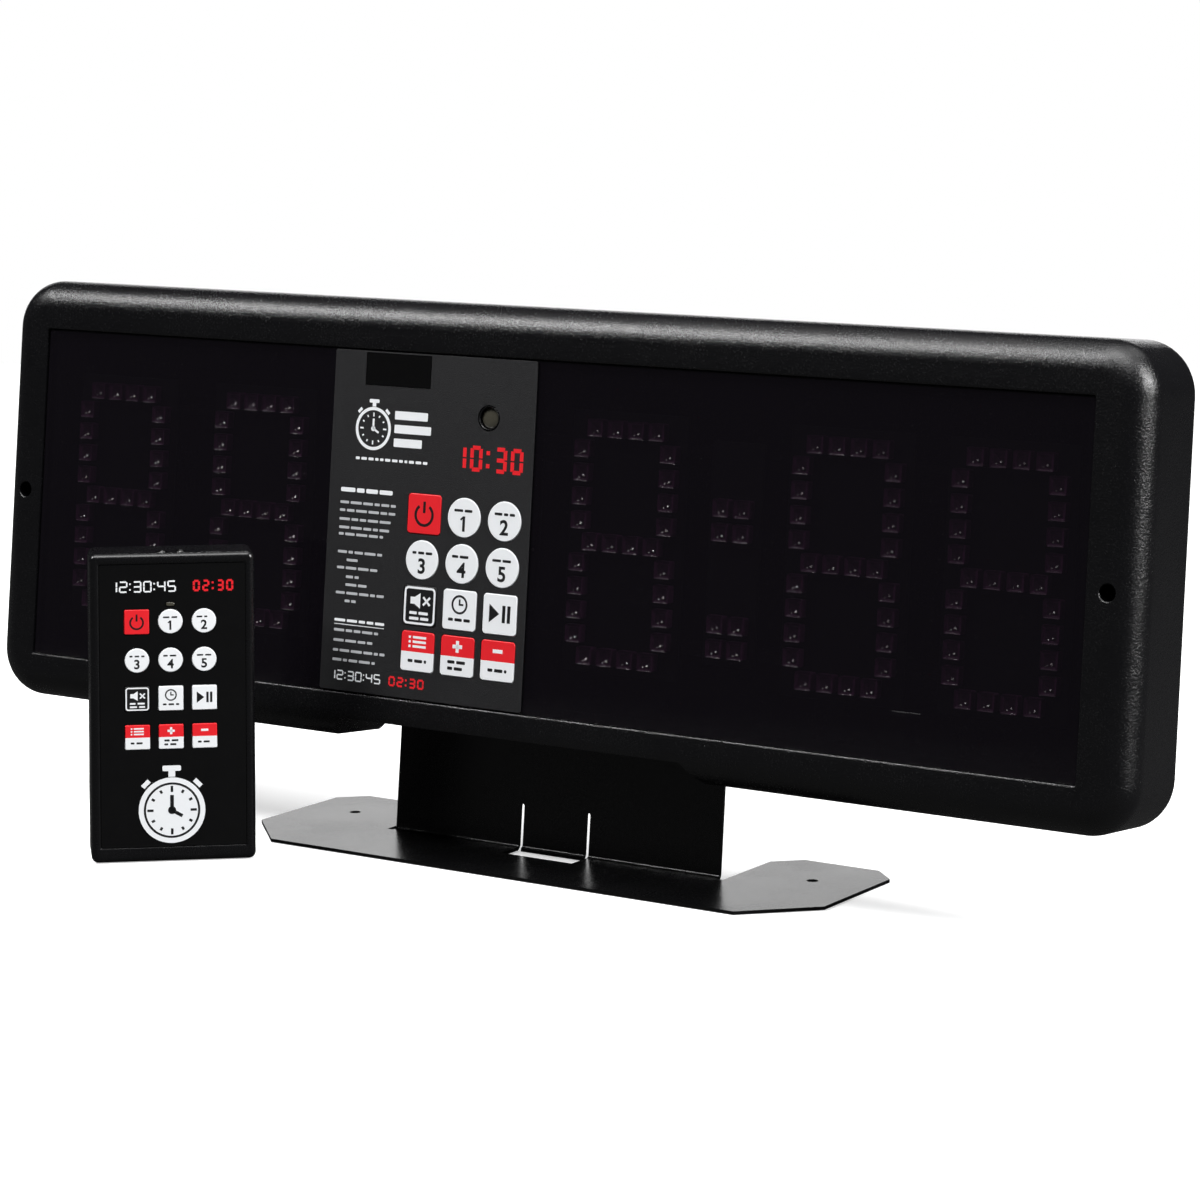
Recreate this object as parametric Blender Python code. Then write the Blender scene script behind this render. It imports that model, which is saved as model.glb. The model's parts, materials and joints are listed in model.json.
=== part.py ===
"""Gym round timer: a long LED display head on a folded sheet-steel stand, with its hand-held remote.

Metres, +Z up, +X to the right, the display facing -Y. The origin is on the underside of the stand's base
plate, in the middle of the strip in front of the fold. Every piece of the head is drawn in the head's own
frame, whose origin is the middle of the bezel's front face, with +Y going back into the case; every piece of
the remote is drawn in a frame at the bottom middle of its front face.
"""

import math

import bmesh
import bpy
from mathutils import Vector

MM = 0.001

# Gaps
GAP = 0.3 * MM  # between pieces that touch or seat on each other
HOLE_CLEARANCE = 0.3 * MM  # round a shank, a key or a lens in its hole
OVERLAP = 0.5 * MM  # how far a joined shape is sunk into its host
CUT_PAST = 2 * MM  # how far a cutter runs past the wall that it cuts

# LEDs and digits
LED_SIZE = 7.6 * MM
LED_PITCH = 10.16 * MM
LED_HEIGHT = 4.4 * MM
LED_FRONT = 8 * MM  # behind the bezel's front face
SEGMENT_LEDS = 4
SEGMENT_END = (6.1 * MM, 9 * MM)  # from a segment's last LED to the next row, across and up
SEGMENT_LENGTH = (SEGMENT_LEDS - 1) * LED_PITCH
DIGIT_COLUMNS = SEGMENT_LENGTH + 2 * SEGMENT_END[0]  # between a digit's two upright rows
DIGIT_ROWS = SEGMENT_LENGTH + 2 * SEGMENT_END[1]  # between two of its level rows

# Keypad strip
STRIP_FRONT = 0.2 * MM
STRIP_THICKNESS = 0.7 * MM
KEY_SIZE = 17.4 * MM
KEY_CORNER = 1.6 * MM
KEY_LIP = 0.7 * MM  # behind the strip, holds the key in
KEY_GAP = (3.6 * MM, 2.6 * MM)  # between keys, across and up
KEYS_EDGE = (4.15 * MM, 12.2 * MM)  # from the strip's right and bottom edges to the keys
KEY_CAP = 1.2 * MM  # depth of the part in the strip
KEY_DEPTH = 3.4 * MM
KEY_TRAVEL = 0.5 * MM
LEGEND_WIDTH = 43.15 * MM  # left of the keys
STRIP_WIDTH = LEGEND_WIDTH + KEYS_EDGE[0] + 3 * KEY_SIZE + 2 * KEY_GAP[0]
STRIP_BORDER = KEYS_EDGE[0] - KEY_LIP - 2 * GAP  # of the strip that lies on the window

# Display layout, left to right between the digits' outer rows of LEDs
LAYOUT_LEFT = 19.65 * MM  # window edge to the first digit
LAYOUT_LEFT_PAIR = 36.9 * MM
LAYOUT_BEFORE_STRIP = 25.7 * MM
LAYOUT_AFTER_STRIP = 19.5 * MM
LAYOUT_COLON = 63.7 * MM  # between the digits on each side of the colon
LAYOUT_RIGHT_PAIR = 30.1 * MM
LAYOUT_RIGHT = 17.65 * MM
LAYOUT_EDGE = 27.7 * MM  # window edge to the top and bottom rows

# Window
LEFT_PART = LAYOUT_LEFT + LAYOUT_LEFT_PAIR + LAYOUT_BEFORE_STRIP + 2 * DIGIT_COLUMNS
RIGHT_PART = LAYOUT_AFTER_STRIP + LAYOUT_COLON + LAYOUT_RIGHT_PAIR + LAYOUT_RIGHT + 3 * DIGIT_COLUMNS
WINDOW_WIDTH = LEFT_PART + STRIP_WIDTH + RIGHT_PART
WINDOW_HEIGHT = 2 * DIGIT_ROWS + 2 * LAYOUT_EDGE
WINDOW_CORNER = 1 * MM
WINDOW_THICKNESS = 3 * MM
WINDOW_SINK = 1.2 * MM  # front of the window behind the front of the bezel
WINDOW_LEDGE = 4 * MM
STRIP_CENTRE = (LEFT_PART - RIGHT_PART) / 2
STRIP_HEIGHT = WINDOW_HEIGHT - 2 * MM
KEYS_RIGHT = STRIP_CENTRE + STRIP_WIDTH / 2 - KEYS_EDGE[0] - KEY_SIZE / 2
KEYS_BOTTOM = -STRIP_HEIGHT / 2 + KEYS_EDGE[1] + KEY_SIZE / 2
RECEIVER_SIZE = (35 * MM, 14.4 * MM)
RECEIVER_EDGES = (16.8 * MM, 0.6 * MM)  # from the strip's left and top edges
LENS_RADIUS = 5.4 * MM
LENS_BULGE = 1.5 * MM
LENS_DEPTH = 2.4 * MM
LENS_DROP = 25.7 * MM  # below the strip's top edge
LENS_INSET = 23.65 * MM  # from the strip's right edge

# Case
BEZEL_SIDE = 22.8 * MM  # window edge to the outside
BEZEL_TOP = 22.3 * MM
BEZEL_BOTTOM = 20.2 * MM
CASE_WIDTH = WINDOW_WIDTH + 2 * BEZEL_SIDE
CASE_HEIGHT = WINDOW_HEIGHT + BEZEL_TOP + BEZEL_BOTTOM
CASE_MIDDLE = (0, (BEZEL_TOP - BEZEL_BOTTOM) / 2)  # from the middle of the display
CASE_DEPTH = 44 * MM
CASE_CORNER = 22 * MM
CASE_ROUNDING = 13 * MM  # the large front edge
CASE_INNER_ROUNDING = 4 * MM
CASE_WALL = 3 * MM
BEZEL_THICKNESS = 7 * MM
NOTCH_HEIGHT = 9 * MM
NOTCH_GAP = 2.5 * MM  # at each side of the flange
COVER_THICKNESS = 3 * MM
COVER_LEDGE = 1.5 * MM  # of the case's wall that the cover seats on
COVER_INSIDE = CASE_DEPTH - COVER_THICKNESS

# Stand: one folded sheet
SHEET = 1.5 * MM
FOLD_RADIUS = 1.5 * MM
BASE_FRONT = 47.5 * MM  # from the fold to the front edge
BASE_BACK = 49 * MM  # from the fold to the ears' back edge
BASE_WIDTH = 292 * MM
FRONT_CORNER = (27 * MM, 28 * MM)  # cut off each front corner, across and along
EAR_CORNER = 11 * MM  # cut off each back corner of an ear
FLANGE_WIDTH = 169 * MM
RELIEF = 3.2 * MM  # slot between the flange's end and the ear
RELIEF_FORWARD = 2.5 * MM
LEAN = math.radians(5.26)
TONGUE_SPACING = 34.4 * MM  # between the two slits' centres
TONGUE_SLIT = 2 * MM
TONGUE_HEIGHT = 19.4 * MM
TONGUE_CLEARANCE = 12 * MM  # opening in the base in front of the tongue
BASE_HOLE_INSET = 26 * MM  # from the ear's end
BASE_HOLE_BACK = 17.3 * MM  # behind the fold
BASE_HOLE_RADIUS = 2.6 * MM
HEAD_LIFT = 43.8 * MM  # from the fold to the case's underside, up the flange
HEAD_RISE = HEAD_LIFT + BEZEL_BOTTOM + WINDOW_HEIGHT / 2  # to the middle of the display
NOTCH_WIDTH = FLANGE_WIDTH + 2 * NOTCH_GAP  # across its ceiling

# Boards
BOARD = 1.6 * MM
BOARD_MARGIN = 3.5 * MM  # round the LEDs
BOARD_CLEARANCE = 1 * MM  # keypad board to the case
DOME_RADIUS = 4 * MM
MAIN_BOARD = (82 * MM, 68 * MM)
MAIN_BOARD_PARTS = [  # each part's place, size and height, in millimetres
    ((-18, 14), (16, 16), 2),
    ((14, 16), (22, 10), 3),
    ((-20, -14), (12, 8), 2),
    ((16, -14), (24, 20), 9),
]
POST_LENGTH = 12 * MM
POST_RADIUS = 3 * MM
MAIN_BOARD_FRONT = COVER_INSIDE - POST_LENGTH - GAP - BOARD

# Rear cover
RIB_PLACE = MAIN_BOARD[1] / 2 + 8 * MM
RIB_END = 10.7 * MM  # from the window's edge
RIB_THICKNESS = 3 * MM
VENT_SIZE = (3 * MM, 26 * MM)
VENT_PITCH = 8 * MM
VENT_COUNT = 6
VENT_INSET = 76 * MM  # from the window's edge
VENT_RISE = 26 * MM  # above the rib
BUZZER_RADIUS = 15 * MM
BUZZER_DEPTH = 10 * MM
BUZZER_X = 130 * MM
SOUND_HOLE_RADIUS = 1.5 * MM
SOUND_HOLE_RING = 6 * MM
SOUND_HOLE_COUNT = 6
INLET_SIZE = (14 * MM, 11 * MM)
INLET_DEPTH = 16 * MM
INLET_PLACE = (170 * MM, -RIB_PLACE - 24 * MM)
INLET_SOCKET_RADIUS = 3.2 * MM
INLET_SOCKET_DEPTH = 11.2 * MM
INLET_PIN_RADIUS = 1 * MM

# Screws
CASE_SCREW_X = WINDOW_WIDTH / 2 + 9.1 * MM
CASE_SCREW_RADIUS = 1.5 * MM
CASE_SCREW_HEAD = (3 * MM, 2.2 * MM)  # radius and height
CASE_HOLE_RADIUS = 3.5 * MM
CASE_BOSS_RADIUS = 6 * MM
CASE_SEAT = 8 * MM  # of the boss that the screw clamps
COVER_BOSS_RADIUS = 4 * MM
COVER_BOSS_LENGTH = 11 * MM
COVER_BOSS_FLOOR = 3 * MM  # left beyond the screw's tip
CASE_BOSS_END = COVER_INSIDE - COVER_BOSS_LENGTH
CASE_SCREW_SINK = CASE_BOSS_END - CASE_SEAT - GAP - CASE_SCREW_HEAD[1]
CASE_SCREW_LENGTH = COVER_INSIDE - COVER_BOSS_FLOOR - CASE_SCREW_SINK - CASE_SCREW_HEAD[1]
STAND_SCREW_X = FLANGE_WIDTH / 2 - 24.5 * MM
STAND_SCREW_DROPS = [28 * MM, 70 * MM]  # below the display's centre
STAND_SCREW_RADIUS = 2 * MM
STAND_SCREW_HEAD = (4 * MM, 2.6 * MM)
STAND_SCREW_LENGTH = 11 * MM
STAND_BOSS_RADIUS = 4.8 * MM
STAND_BOSS_DEPTH = 8 * MM
FLANGE_TOP = 15.8 * MM  # above the upper screws
FLANGE_HEIGHT = HEAD_RISE - STAND_SCREW_DROPS[0] + FLANGE_TOP  # up its own slope
SLOT_WIDTH = 0.9 * MM  # driver slot in a screw's head
SLOT_DEPTH = 1 * MM

# Remote
REMOTE_PLACE = (-131.2 * MM, -77.1 * MM)
REMOTE_TURN = math.radians(42.3)
REMOTE_WIDTH = 71.4 * MM
REMOTE_HEIGHT = 135.4 * MM
REMOTE_CORNER = 3 * MM
REMOTE_ROUNDING = 2.5 * MM
REMOTE_WALL = 2 * MM
REMOTE_SPLIT = 12 * MM
REMOTE_FRONT_WALL = 3.2 * MM
FACE_MARGINS = (3.9 * MM, 6.3 * MM, 4.4 * MM)  # sides, bottom, top
FACE_SINK = 0.3 * MM
FACE_THICKNESS = 0.6 * MM
REMOTE_KEY = 10.75 * MM
REMOTE_KEY_CORNER = 0.6 * MM
REMOTE_KEY_LIP = 0.7 * MM
REMOTE_KEY_GAP = (3.8 * MM, 6.1 * MM)
REMOTE_KEY_DEPTH = 4.7 * MM
REMOTE_KEYS_MIDDLE = -0.95 * MM
REMOTE_KEYS_RIGHT = REMOTE_KEYS_MIDDLE + REMOTE_KEY + REMOTE_KEY_GAP[0]
REMOTE_KEYS_DROP = 24.4 * MM  # from the top down to the keys
REMOTE_KEYS_TOP = REMOTE_HEIGHT - REMOTE_KEYS_DROP - REMOTE_KEY / 2
REMOTE_DOME_RADIUS = 2.5 * MM
EMITTER_RADIUS = 2.5 * MM
EMITTER_SPACING = 8 * MM
EMITTER_DEPTH = 6 * MM  # behind the front face
EMITTER_LENGTH = 7 * MM
EMITTER_PROUD = 0.8 * MM
INDICATOR_SIZE = (3.8 * MM, 1.7 * MM)
INDICATOR_RISE = REMOTE_KEY / 2 + REMOTE_KEY_LIP + 2 * GAP + INDICATOR_SIZE[1] / 2
INDICATOR_PLACE = (REMOTE_KEYS_MIDDLE, REMOTE_KEYS_TOP + INDICATOR_RISE)
BATTERY_RADIUS = 5.1 * MM
BATTERY_LENGTH = 44.5 * MM
BATTERY_BOTTOM = 22 * MM
BATTERY_ROOM = 3.5 * MM  # between the board and the batteries
BATTERY_COVER = (32 * MM, 58 * MM)
BATTERY_COVER_BOTTOM = 15 * MM
KEYPAD_BOARD_FRONT = KEY_DEPTH + KEY_TRAVEL + 2 * GAP + STRIP_THICKNESS
REMOTE_BOARD_FRONT = REMOTE_KEY_DEPTH + KEY_TRAVEL + 2 * GAP + FACE_THICKNESS
REMOTE_DEPTH = REMOTE_BOARD_FRONT + BOARD + BATTERY_ROOM + 2 * BATTERY_RADIUS + GAP + REMOTE_WALL

# How finely round shapes are faceted
ROUND = 20
SMALL_ROUND = 12
CORNER_STEPS = 2
ROUNDING_STEPS = 5
LENS_STEPS = 3
TINY_ROUND = 8
BEND_STEPS = 6
NEARLY_HALF = 0.48  # of a slot's width, for the radius of its ends

KEY_NAMES = [
    ["power", "preset_1", "preset_2"],
    ["preset_3", "preset_4", "preset_5"],
    ["silent", "clock", "start_stop"],
    ["program", "plus", "minus"],
]
KEY_COLOURS = {
    "power": "key_red",
    "program": "key_red",
    "plus": "key_red",
    "minus": "key_red",
    "silent": "key_black",
}


# ---------------------------------------------------------------- scene helpers


def clear_scene():
    for leftover in list(bpy.data.objects):
        bpy.data.objects.remove(leftover)


def make_material(name, colour, roughness, metallic=0.0):
    material = bpy.data.materials.new(name)
    material.use_nodes = True
    shader = material.node_tree.nodes["Principled BSDF"]
    shader.inputs["Base Color"].default_value = (*colour, 1.0)
    shader.inputs["Roughness"].default_value = roughness
    shader.inputs["Metallic"].default_value = metallic
    return material


def make_frame(name, place, turn=(0.0, 0.0, 0.0), parent=None):
    """An empty: a frame that pieces are drawn in."""
    frame = bpy.data.objects.new(name, None)
    frame.location = place
    frame.rotation_euler = turn
    frame.parent = parent
    bpy.context.scene.collection.objects.link(frame)
    return frame


def make_piece(name, shape, material, frame, place=(0.0, 0.0, 0.0)):
    """Turns a finished bmesh into a named piece in its frame."""
    bmesh.ops.recalc_face_normals(shape, faces=shape.faces)
    mesh = bpy.data.meshes.new(name)
    shape.to_mesh(mesh)
    shape.free()
    mesh.shade_smooth()
    mesh.set_sharp_from_angle(angle=math.radians(30))
    mesh.materials.append(material)
    piece = bpy.data.objects.new(name, mesh)
    piece.location = place
    piece.parent = frame
    bpy.context.scene.collection.objects.link(piece)
    return piece


def combine(piece, shape, operation, frame=None):
    """Cuts a shape from a piece, or joins it on. The shape is drawn in the piece's own frame, or in the one given."""
    helper = make_piece(f"{piece.name}_{operation.lower()}", shape, piece.data.materials[0], frame or piece.parent)
    helper.location = piece.location
    helper.hide_render = True
    helper.display_type = "WIRE"
    modifier = piece.modifiers.new(operation.title(), "BOOLEAN")
    modifier.object = helper
    modifier.operation = operation
    modifier.solver = "EXACT"
    return helper


def cut(piece, shape, frame=None):
    return combine(piece, shape, "DIFFERENCE", frame)


def join(piece, shape):
    combine(piece, shape, "UNION")


# ---------------------------------------------------------------- outlines and prisms


def circle(radius, centre=(0.0, 0.0), steps=ROUND):
    """Points of a circle, as (across, up)."""
    turns = [2 * math.pi * (i + 0.5) / steps for i in range(steps)]
    return [(centre[0] + radius * math.cos(a), centre[1] + radius * math.sin(a)) for a in turns]


def rounded_box(width, height, radius, centre=(0.0, 0.0), steps=CORNER_STEPS):
    """Points of a rectangle with round corners, as (across, up)."""
    points = []
    for quarter, (sx, sz) in enumerate(((1, 1), (-1, 1), (-1, -1), (1, -1))):
        cx = centre[0] + sx * (width / 2 - radius)
        cz = centre[1] + sz * (height / 2 - radius)
        for i in range(steps + 1):
            a = (quarter + i / steps) * math.pi / 2
            points.append((cx + radius * math.cos(a), cz + radius * math.sin(a)))
    return points


def rectangle(width, height, centre=(0.0, 0.0)):
    x, z = width / 2, height / 2
    return [(centre[0] + a, centre[1] + b) for a, b in ((x, z), (-x, z), (-x, -z), (x, -z))]


def raise_face(shape, face, travel):
    """Extrudes a face by a vector."""
    grown = bmesh.ops.extrude_face_region(shape, geom=[face])["geom"]
    far = [v for v in grown if isinstance(v, bmesh.types.BMVert)]
    bmesh.ops.translate(shape, verts=far, vec=travel)


def add_prism(shape, outline, front, back):
    """Adds an outline, drawn across and up, extruded from the front depth to the back depth."""
    corners = [shape.verts.new((x, front, z)) for x, z in outline]
    face = shape.faces.new(corners)
    raise_face(shape, face, (0, back - front, 0))
    return shape


def prism(outline, front, back):
    return add_prism(bmesh.new(), outline, front, back)


def prisms(parts):
    """One shape from several (outline, front, back) that don't touch."""
    shape = bmesh.new()
    for outline, front, back in parts:
        add_prism(shape, outline, front, back)
    return shape


def turned(profile, centre=(0.0, 0.0), steps=ROUND):
    """A solid of revolution about the depth axis, from (radius, depth) pairs that start and end on the axis."""
    shape = bmesh.new()
    cx, cz = centre
    rings = [shape.verts.new((cx + r, y, cz)) for r, y in profile]
    edges = [shape.edges.new(pair) for pair in zip(rings, rings[1:])]
    bmesh.ops.spin(
        shape, geom=rings + edges, cent=(cx, 0, cz), axis=(0, 1, 0), angle=2 * math.pi, steps=steps, use_merge=True
    )
    bmesh.ops.remove_doubles(shape, verts=shape.verts, dist=0.001 * MM)
    return shape


def front_rounded(outline, rounding, front, back, steps):
    """A prism whose front edge is rounded over."""
    shape = prism(outline, front, back)
    rim = [e for e in shape.edges if all(abs(v.co.y - front) < GAP for v in e.verts)]
    bmesh.ops.bevel(shape, geom=rim, offset=rounding, segments=steps, profile=0.5, affect="EDGES", clamp_overlap=False)
    return shape


def case_outline(inset):
    """The case's outline, smaller by an inset."""
    size = (CASE_WIDTH - 2 * inset, CASE_HEIGHT - 2 * inset)
    return rounded_box(*size, CASE_CORNER - inset, CASE_MIDDLE, ROUNDING_STEPS)


def moved(shape, offset):
    bmesh.ops.translate(shape, verts=shape.verts, vec=offset)
    return shape


# ---------------------------------------------------------------- stand


def fold_profile():
    """The folded sheet's section, as (back, up) from the fold, where the two outer faces would meet."""
    slope = math.pi / 2 - LEAN
    outer = FOLD_RADIUS + SHEET
    reach = math.tan(slope / 2)
    inner_centre = (-FOLD_RADIUS * reach, SHEET + FOLD_RADIUS)
    up_slope = Vector((math.sin(LEAN), math.cos(LEAN)))
    back = Vector((math.cos(LEAN), -math.sin(LEAN)))
    fold = Vector((0, SHEET))
    top = fold + up_slope * FLANGE_HEIGHT
    arc = [-math.pi / 2 + slope * i / BEND_STEPS for i in range(BEND_STEPS + 1)]
    inner = [
        (inner_centre[0] + FOLD_RADIUS * math.cos(a), inner_centre[1] + FOLD_RADIUS * math.sin(a)) for a in arc
    ]
    outside = [(inner_centre[0] + outer * math.cos(a), inner_centre[1] + outer * math.sin(a)) for a in arc]
    points = [(-BASE_FRONT, SHEET), *inner, tuple(top), tuple(top + back * SHEET), *reversed(outside), (-BASE_FRONT, 0)]
    return points


def base_outline():
    """Half of the flat plate's outline, right side, as (across, back) from the fold."""
    x, (cx, cy) = BASE_WIDTH / 2, FRONT_CORNER
    ear = FLANGE_WIDTH / 2 + RELIEF
    return [
        (0, -BASE_FRONT),
        (x - cx, -BASE_FRONT),
        (x, -BASE_FRONT + cy),
        (x, BASE_BACK - EAR_CORNER),
        (x - EAR_CORNER, BASE_BACK),
        (ear + EAR_CORNER, BASE_BACK),
        (ear, BASE_BACK - EAR_CORNER),
        (ear, -RELIEF_FORWARD),
        (0, -RELIEF_FORWARD),
    ]


def make_stand(material, fold_frame, lean_frame):
    half = base_outline()
    outline = half + [(-x, y) for x, y in reversed(half[1:-1])]
    plate = bmesh.new()
    face = plate.faces.new([plate.verts.new((x, y, 0)) for x, y in outline])
    raise_face(plate, face, (0, 0, SHEET))
    stand = make_piece("stand_bracket", plate, material, fold_frame)

    fold = bmesh.new()
    half_width = FLANGE_WIDTH / 2
    face = fold.faces.new([fold.verts.new((-half_width, y, z)) for y, z in fold_profile()])
    raise_face(fold, face, (FLANGE_WIDTH, 0, 0))
    join(stand, fold)

    openings = bmesh.new()
    opening_width = TONGUE_SPACING + TONGUE_SLIT
    block = bmesh.ops.create_cube(openings, size=1)["verts"]
    bmesh.ops.scale(openings, verts=block, vec=(opening_width, TONGUE_CLEARANCE, SHEET + 2 * CUT_PAST))
    bmesh.ops.translate(openings, verts=block, vec=(0, -TONGUE_CLEARANCE / 2 - RELIEF_FORWARD / 2, 0))
    for side in (-1, 1):
        hole = bmesh.ops.create_cone(
            openings,
            cap_ends=True,
            segments=SMALL_ROUND,
            radius1=BASE_HOLE_RADIUS,
            radius2=BASE_HOLE_RADIUS,
            depth=SHEET + 2 * CUT_PAST,
        )["verts"]
        bmesh.ops.translate(openings, verts=hole, vec=(side * (BASE_WIDTH / 2 - BASE_HOLE_INSET), BASE_HOLE_BACK, 0))
    cut(stand, openings)

    slits = bmesh.new()
    for side in (-1, 1):
        x = side * TONGUE_SPACING / 2
        slit = rounded_box(
            TONGUE_SLIT, TONGUE_HEIGHT + CUT_PAST, NEARLY_HALF * TONGUE_SLIT, (x, (TONGUE_HEIGHT - CUT_PAST) / 2)
        )
        add_prism(slits, slit, -CUT_PAST, SHEET + CUT_PAST)
    for x, z in stand_screw_places():
        add_prism(slits, circle(STAND_SCREW_RADIUS + GAP, (x, HEAD_RISE + z), SMALL_ROUND), -CUT_PAST, SHEET + CUT_PAST)
    cut(stand, slits, lean_frame)


def stand_screw_places():
    """(across, up) of the screws through the flange, from the display's centre."""
    return [(side * STAND_SCREW_X, -drop) for side in (-1, 1) for drop in STAND_SCREW_DROPS]


def screw(radius, head, length):
    """A pan-head screw: the head's top at depth 0 and the tip at its head's height plus its length."""
    head_radius, head_height = head
    return turned(
        [
            (0, 0),
            (head_radius - head_height / 2, 0),
            (head_radius, head_height / 2),
            (head_radius, head_height),
            (radius, head_height),
            (radius, head_height + length - radius),
            (radius / 3, head_height + length),
            (0, head_height + length),
        ],
        steps=SMALL_ROUND,
    )


def driver_slot(head):
    return prism(rectangle(3 * head[0], SLOT_WIDTH), -CUT_PAST, SLOT_DEPTH)


# ---------------------------------------------------------------- head


def notch(margin, front, back):
    """The cut in the case's underside where the stand passes, grown by a margin. Its ends slope at 45 degrees."""
    bottom = CASE_MIDDLE[1] - CASE_HEIGHT / 2
    ceiling = bottom + NOTCH_HEIGHT + margin
    low = bottom - CUT_PAST
    spread = margin * math.tan(math.pi / 8)
    top_half = NOTCH_WIDTH / 2 + spread
    low_half = top_half + ceiling - low
    return prism([(top_half, ceiling), (-top_half, ceiling), (-low_half, low), (low_half, low)], front, back)


def make_front_case(material, head):
    past = CASE_DEPTH + CUT_PAST
    shell = front_rounded(case_outline(0), CASE_ROUNDING, 0, CASE_DEPTH, ROUNDING_STEPS)
    case = make_piece("front_case", shell, material, head)
    cut(case, notch(0, -CUT_PAST, past))
    hollow = front_rounded(case_outline(CASE_WALL), CASE_INNER_ROUNDING, BEZEL_THICKNESS, past, CORNER_STEPS)
    cavity = cut(case, hollow)
    cut(cavity, notch(CASE_WALL, 0, past + CUT_PAST))

    bosses = [
        (circle(CASE_BOSS_RADIUS, (side * CASE_SCREW_X, 0), SMALL_ROUND), BEZEL_THICKNESS - OVERLAP, CASE_BOSS_END)
        for side in (-1, 1)
    ]
    join(case, prisms(bosses))

    seat = cut(case, prism(case_outline(COVER_LEDGE), COVER_INSIDE - GAP, past))
    cut(seat, notch(COVER_LEDGE, 0, past + CUT_PAST))

    seat_back = WINDOW_SINK + WINDOW_THICKNESS + GAP
    pocket = rounded_box(WINDOW_WIDTH, WINDOW_HEIGHT, WINDOW_CORNER)
    cut(case, prism(pocket, -CUT_PAST, seat_back))
    opening = rectangle(WINDOW_WIDTH - 2 * WINDOW_LEDGE, WINDOW_HEIGHT - 2 * WINDOW_LEDGE)
    cut(case, prism(opening, seat_back - OVERLAP, BEZEL_THICKNESS + CUT_PAST))

    shank = CASE_SCREW_RADIUS + HOLE_CLEARANCE
    floor = CASE_SCREW_SINK + CASE_SCREW_HEAD[1] + GAP
    wells = [(circle(CASE_HOLE_RADIUS, (s * CASE_SCREW_X, 0), SMALL_ROUND), -CUT_PAST, floor) for s in (-1, 1)]
    cut(case, prisms(wells))
    holes = [
        (circle(shank, (s * CASE_SCREW_X, 0), SMALL_ROUND), floor - OVERLAP, CASE_BOSS_END + CUT_PAST) for s in (-1, 1)
    ]
    cut(case, prisms(holes))


def make_rear_cover(material, head):
    inside = COVER_INSIDE
    cover = make_piece("rear_cover", prism(case_outline(COVER_LEDGE + GAP), inside, CASE_DEPTH), material, head)
    cut(cover, notch(COVER_LEDGE + GAP, 0, CASE_DEPTH + CUT_PAST))

    deck = LED_FRONT + LED_HEIGHT + BOARD + GAP
    raised = KEYPAD_BOARD_FRONT + BOARD + GAP
    behind = inside + OVERLAP
    raised_length = STRIP_WIDTH - 2 * (STRIP_BORDER + BOARD_CLEARANCE)
    supports = bmesh.new()
    for side in (-1, 1):
        z = side * RIB_PLACE
        x = STRIP_CENTRE
        low = z - RIB_THICKNESS / 2
        left, right = x - raised_length / 2, x + raised_length / 2
        end = WINDOW_WIDTH / 2 - RIB_END
        profile = [(-end, deck), (left, deck), (left, raised), (right, raised), (right, deck), (end, deck)]
        points = [*profile, (end, behind), (-end, behind)]
        face = supports.faces.new([supports.verts.new((px, py, low)) for px, py in points])
        raise_face(supports, face, (0, 0, RIB_THICKNESS))
    for side in (-1, 1):
        boss = circle(COVER_BOSS_RADIUS, (side * CASE_SCREW_X, 0), SMALL_ROUND)
        add_prism(supports, boss, CASE_BOSS_END + GAP, behind)
    join(cover, supports)
    posts = [
        (circle(POST_RADIUS, place, TINY_ROUND), MAIN_BOARD_FRONT + BOARD + GAP, behind) for place in main_board_posts()
    ]
    join(cover, prisms(posts))
    bosses = [
        (circle(STAND_BOSS_RADIUS, place, SMALL_ROUND), inside - STAND_BOSS_DEPTH, behind)
        for place in stand_screw_places()
    ]
    join(cover, prisms(bosses))

    openings = bmesh.new()
    for side in (-1, 1):
        for i in range(VENT_COUNT):
            x = side * (WINDOW_WIDTH / 2 - VENT_INSET) + (i - (VENT_COUNT - 1) / 2) * VENT_PITCH
            slot = rounded_box(*VENT_SIZE, NEARLY_HALF * VENT_SIZE[0], (x, RIB_PLACE + VENT_RISE), steps=1)
            add_prism(openings, slot, inside - CUT_PAST, CASE_DEPTH + CUT_PAST)
    for centre in circle(SOUND_HOLE_RING, (BUZZER_X, 0), SOUND_HOLE_COUNT):
        add_prism(openings, circle(SOUND_HOLE_RADIUS, centre, TINY_ROUND), inside - CUT_PAST, CASE_DEPTH + CUT_PAST)
    w, h = INLET_SIZE
    inlet = rectangle(w + 2 * GAP, h + 2 * GAP, INLET_PLACE)
    add_prism(openings, inlet, inside - CUT_PAST, CASE_DEPTH + CUT_PAST)
    for x, z in stand_screw_places():
        pilot = circle(STAND_SCREW_RADIUS + GAP, (x, z), SMALL_ROUND)
        add_prism(openings, pilot, inside - STAND_BOSS_DEPTH - CUT_PAST, CASE_DEPTH + CUT_PAST)
    tip = CASE_SCREW_SINK + CASE_SCREW_HEAD[1] + CASE_SCREW_LENGTH + GAP
    for side in (-1, 1):
        pilot = circle(CASE_SCREW_RADIUS + HOLE_CLEARANCE, (side * CASE_SCREW_X, 0), SMALL_ROUND)
        add_prism(openings, pilot, CASE_BOSS_END - CUT_PAST, tip)
    cut(cover, openings)


def strip_cutout():
    """The opening in the window behind the keypad strip."""
    border = 2 * STRIP_BORDER
    return rectangle(STRIP_WIDTH - border, STRIP_HEIGHT - border, (STRIP_CENTRE, 0))


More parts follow.
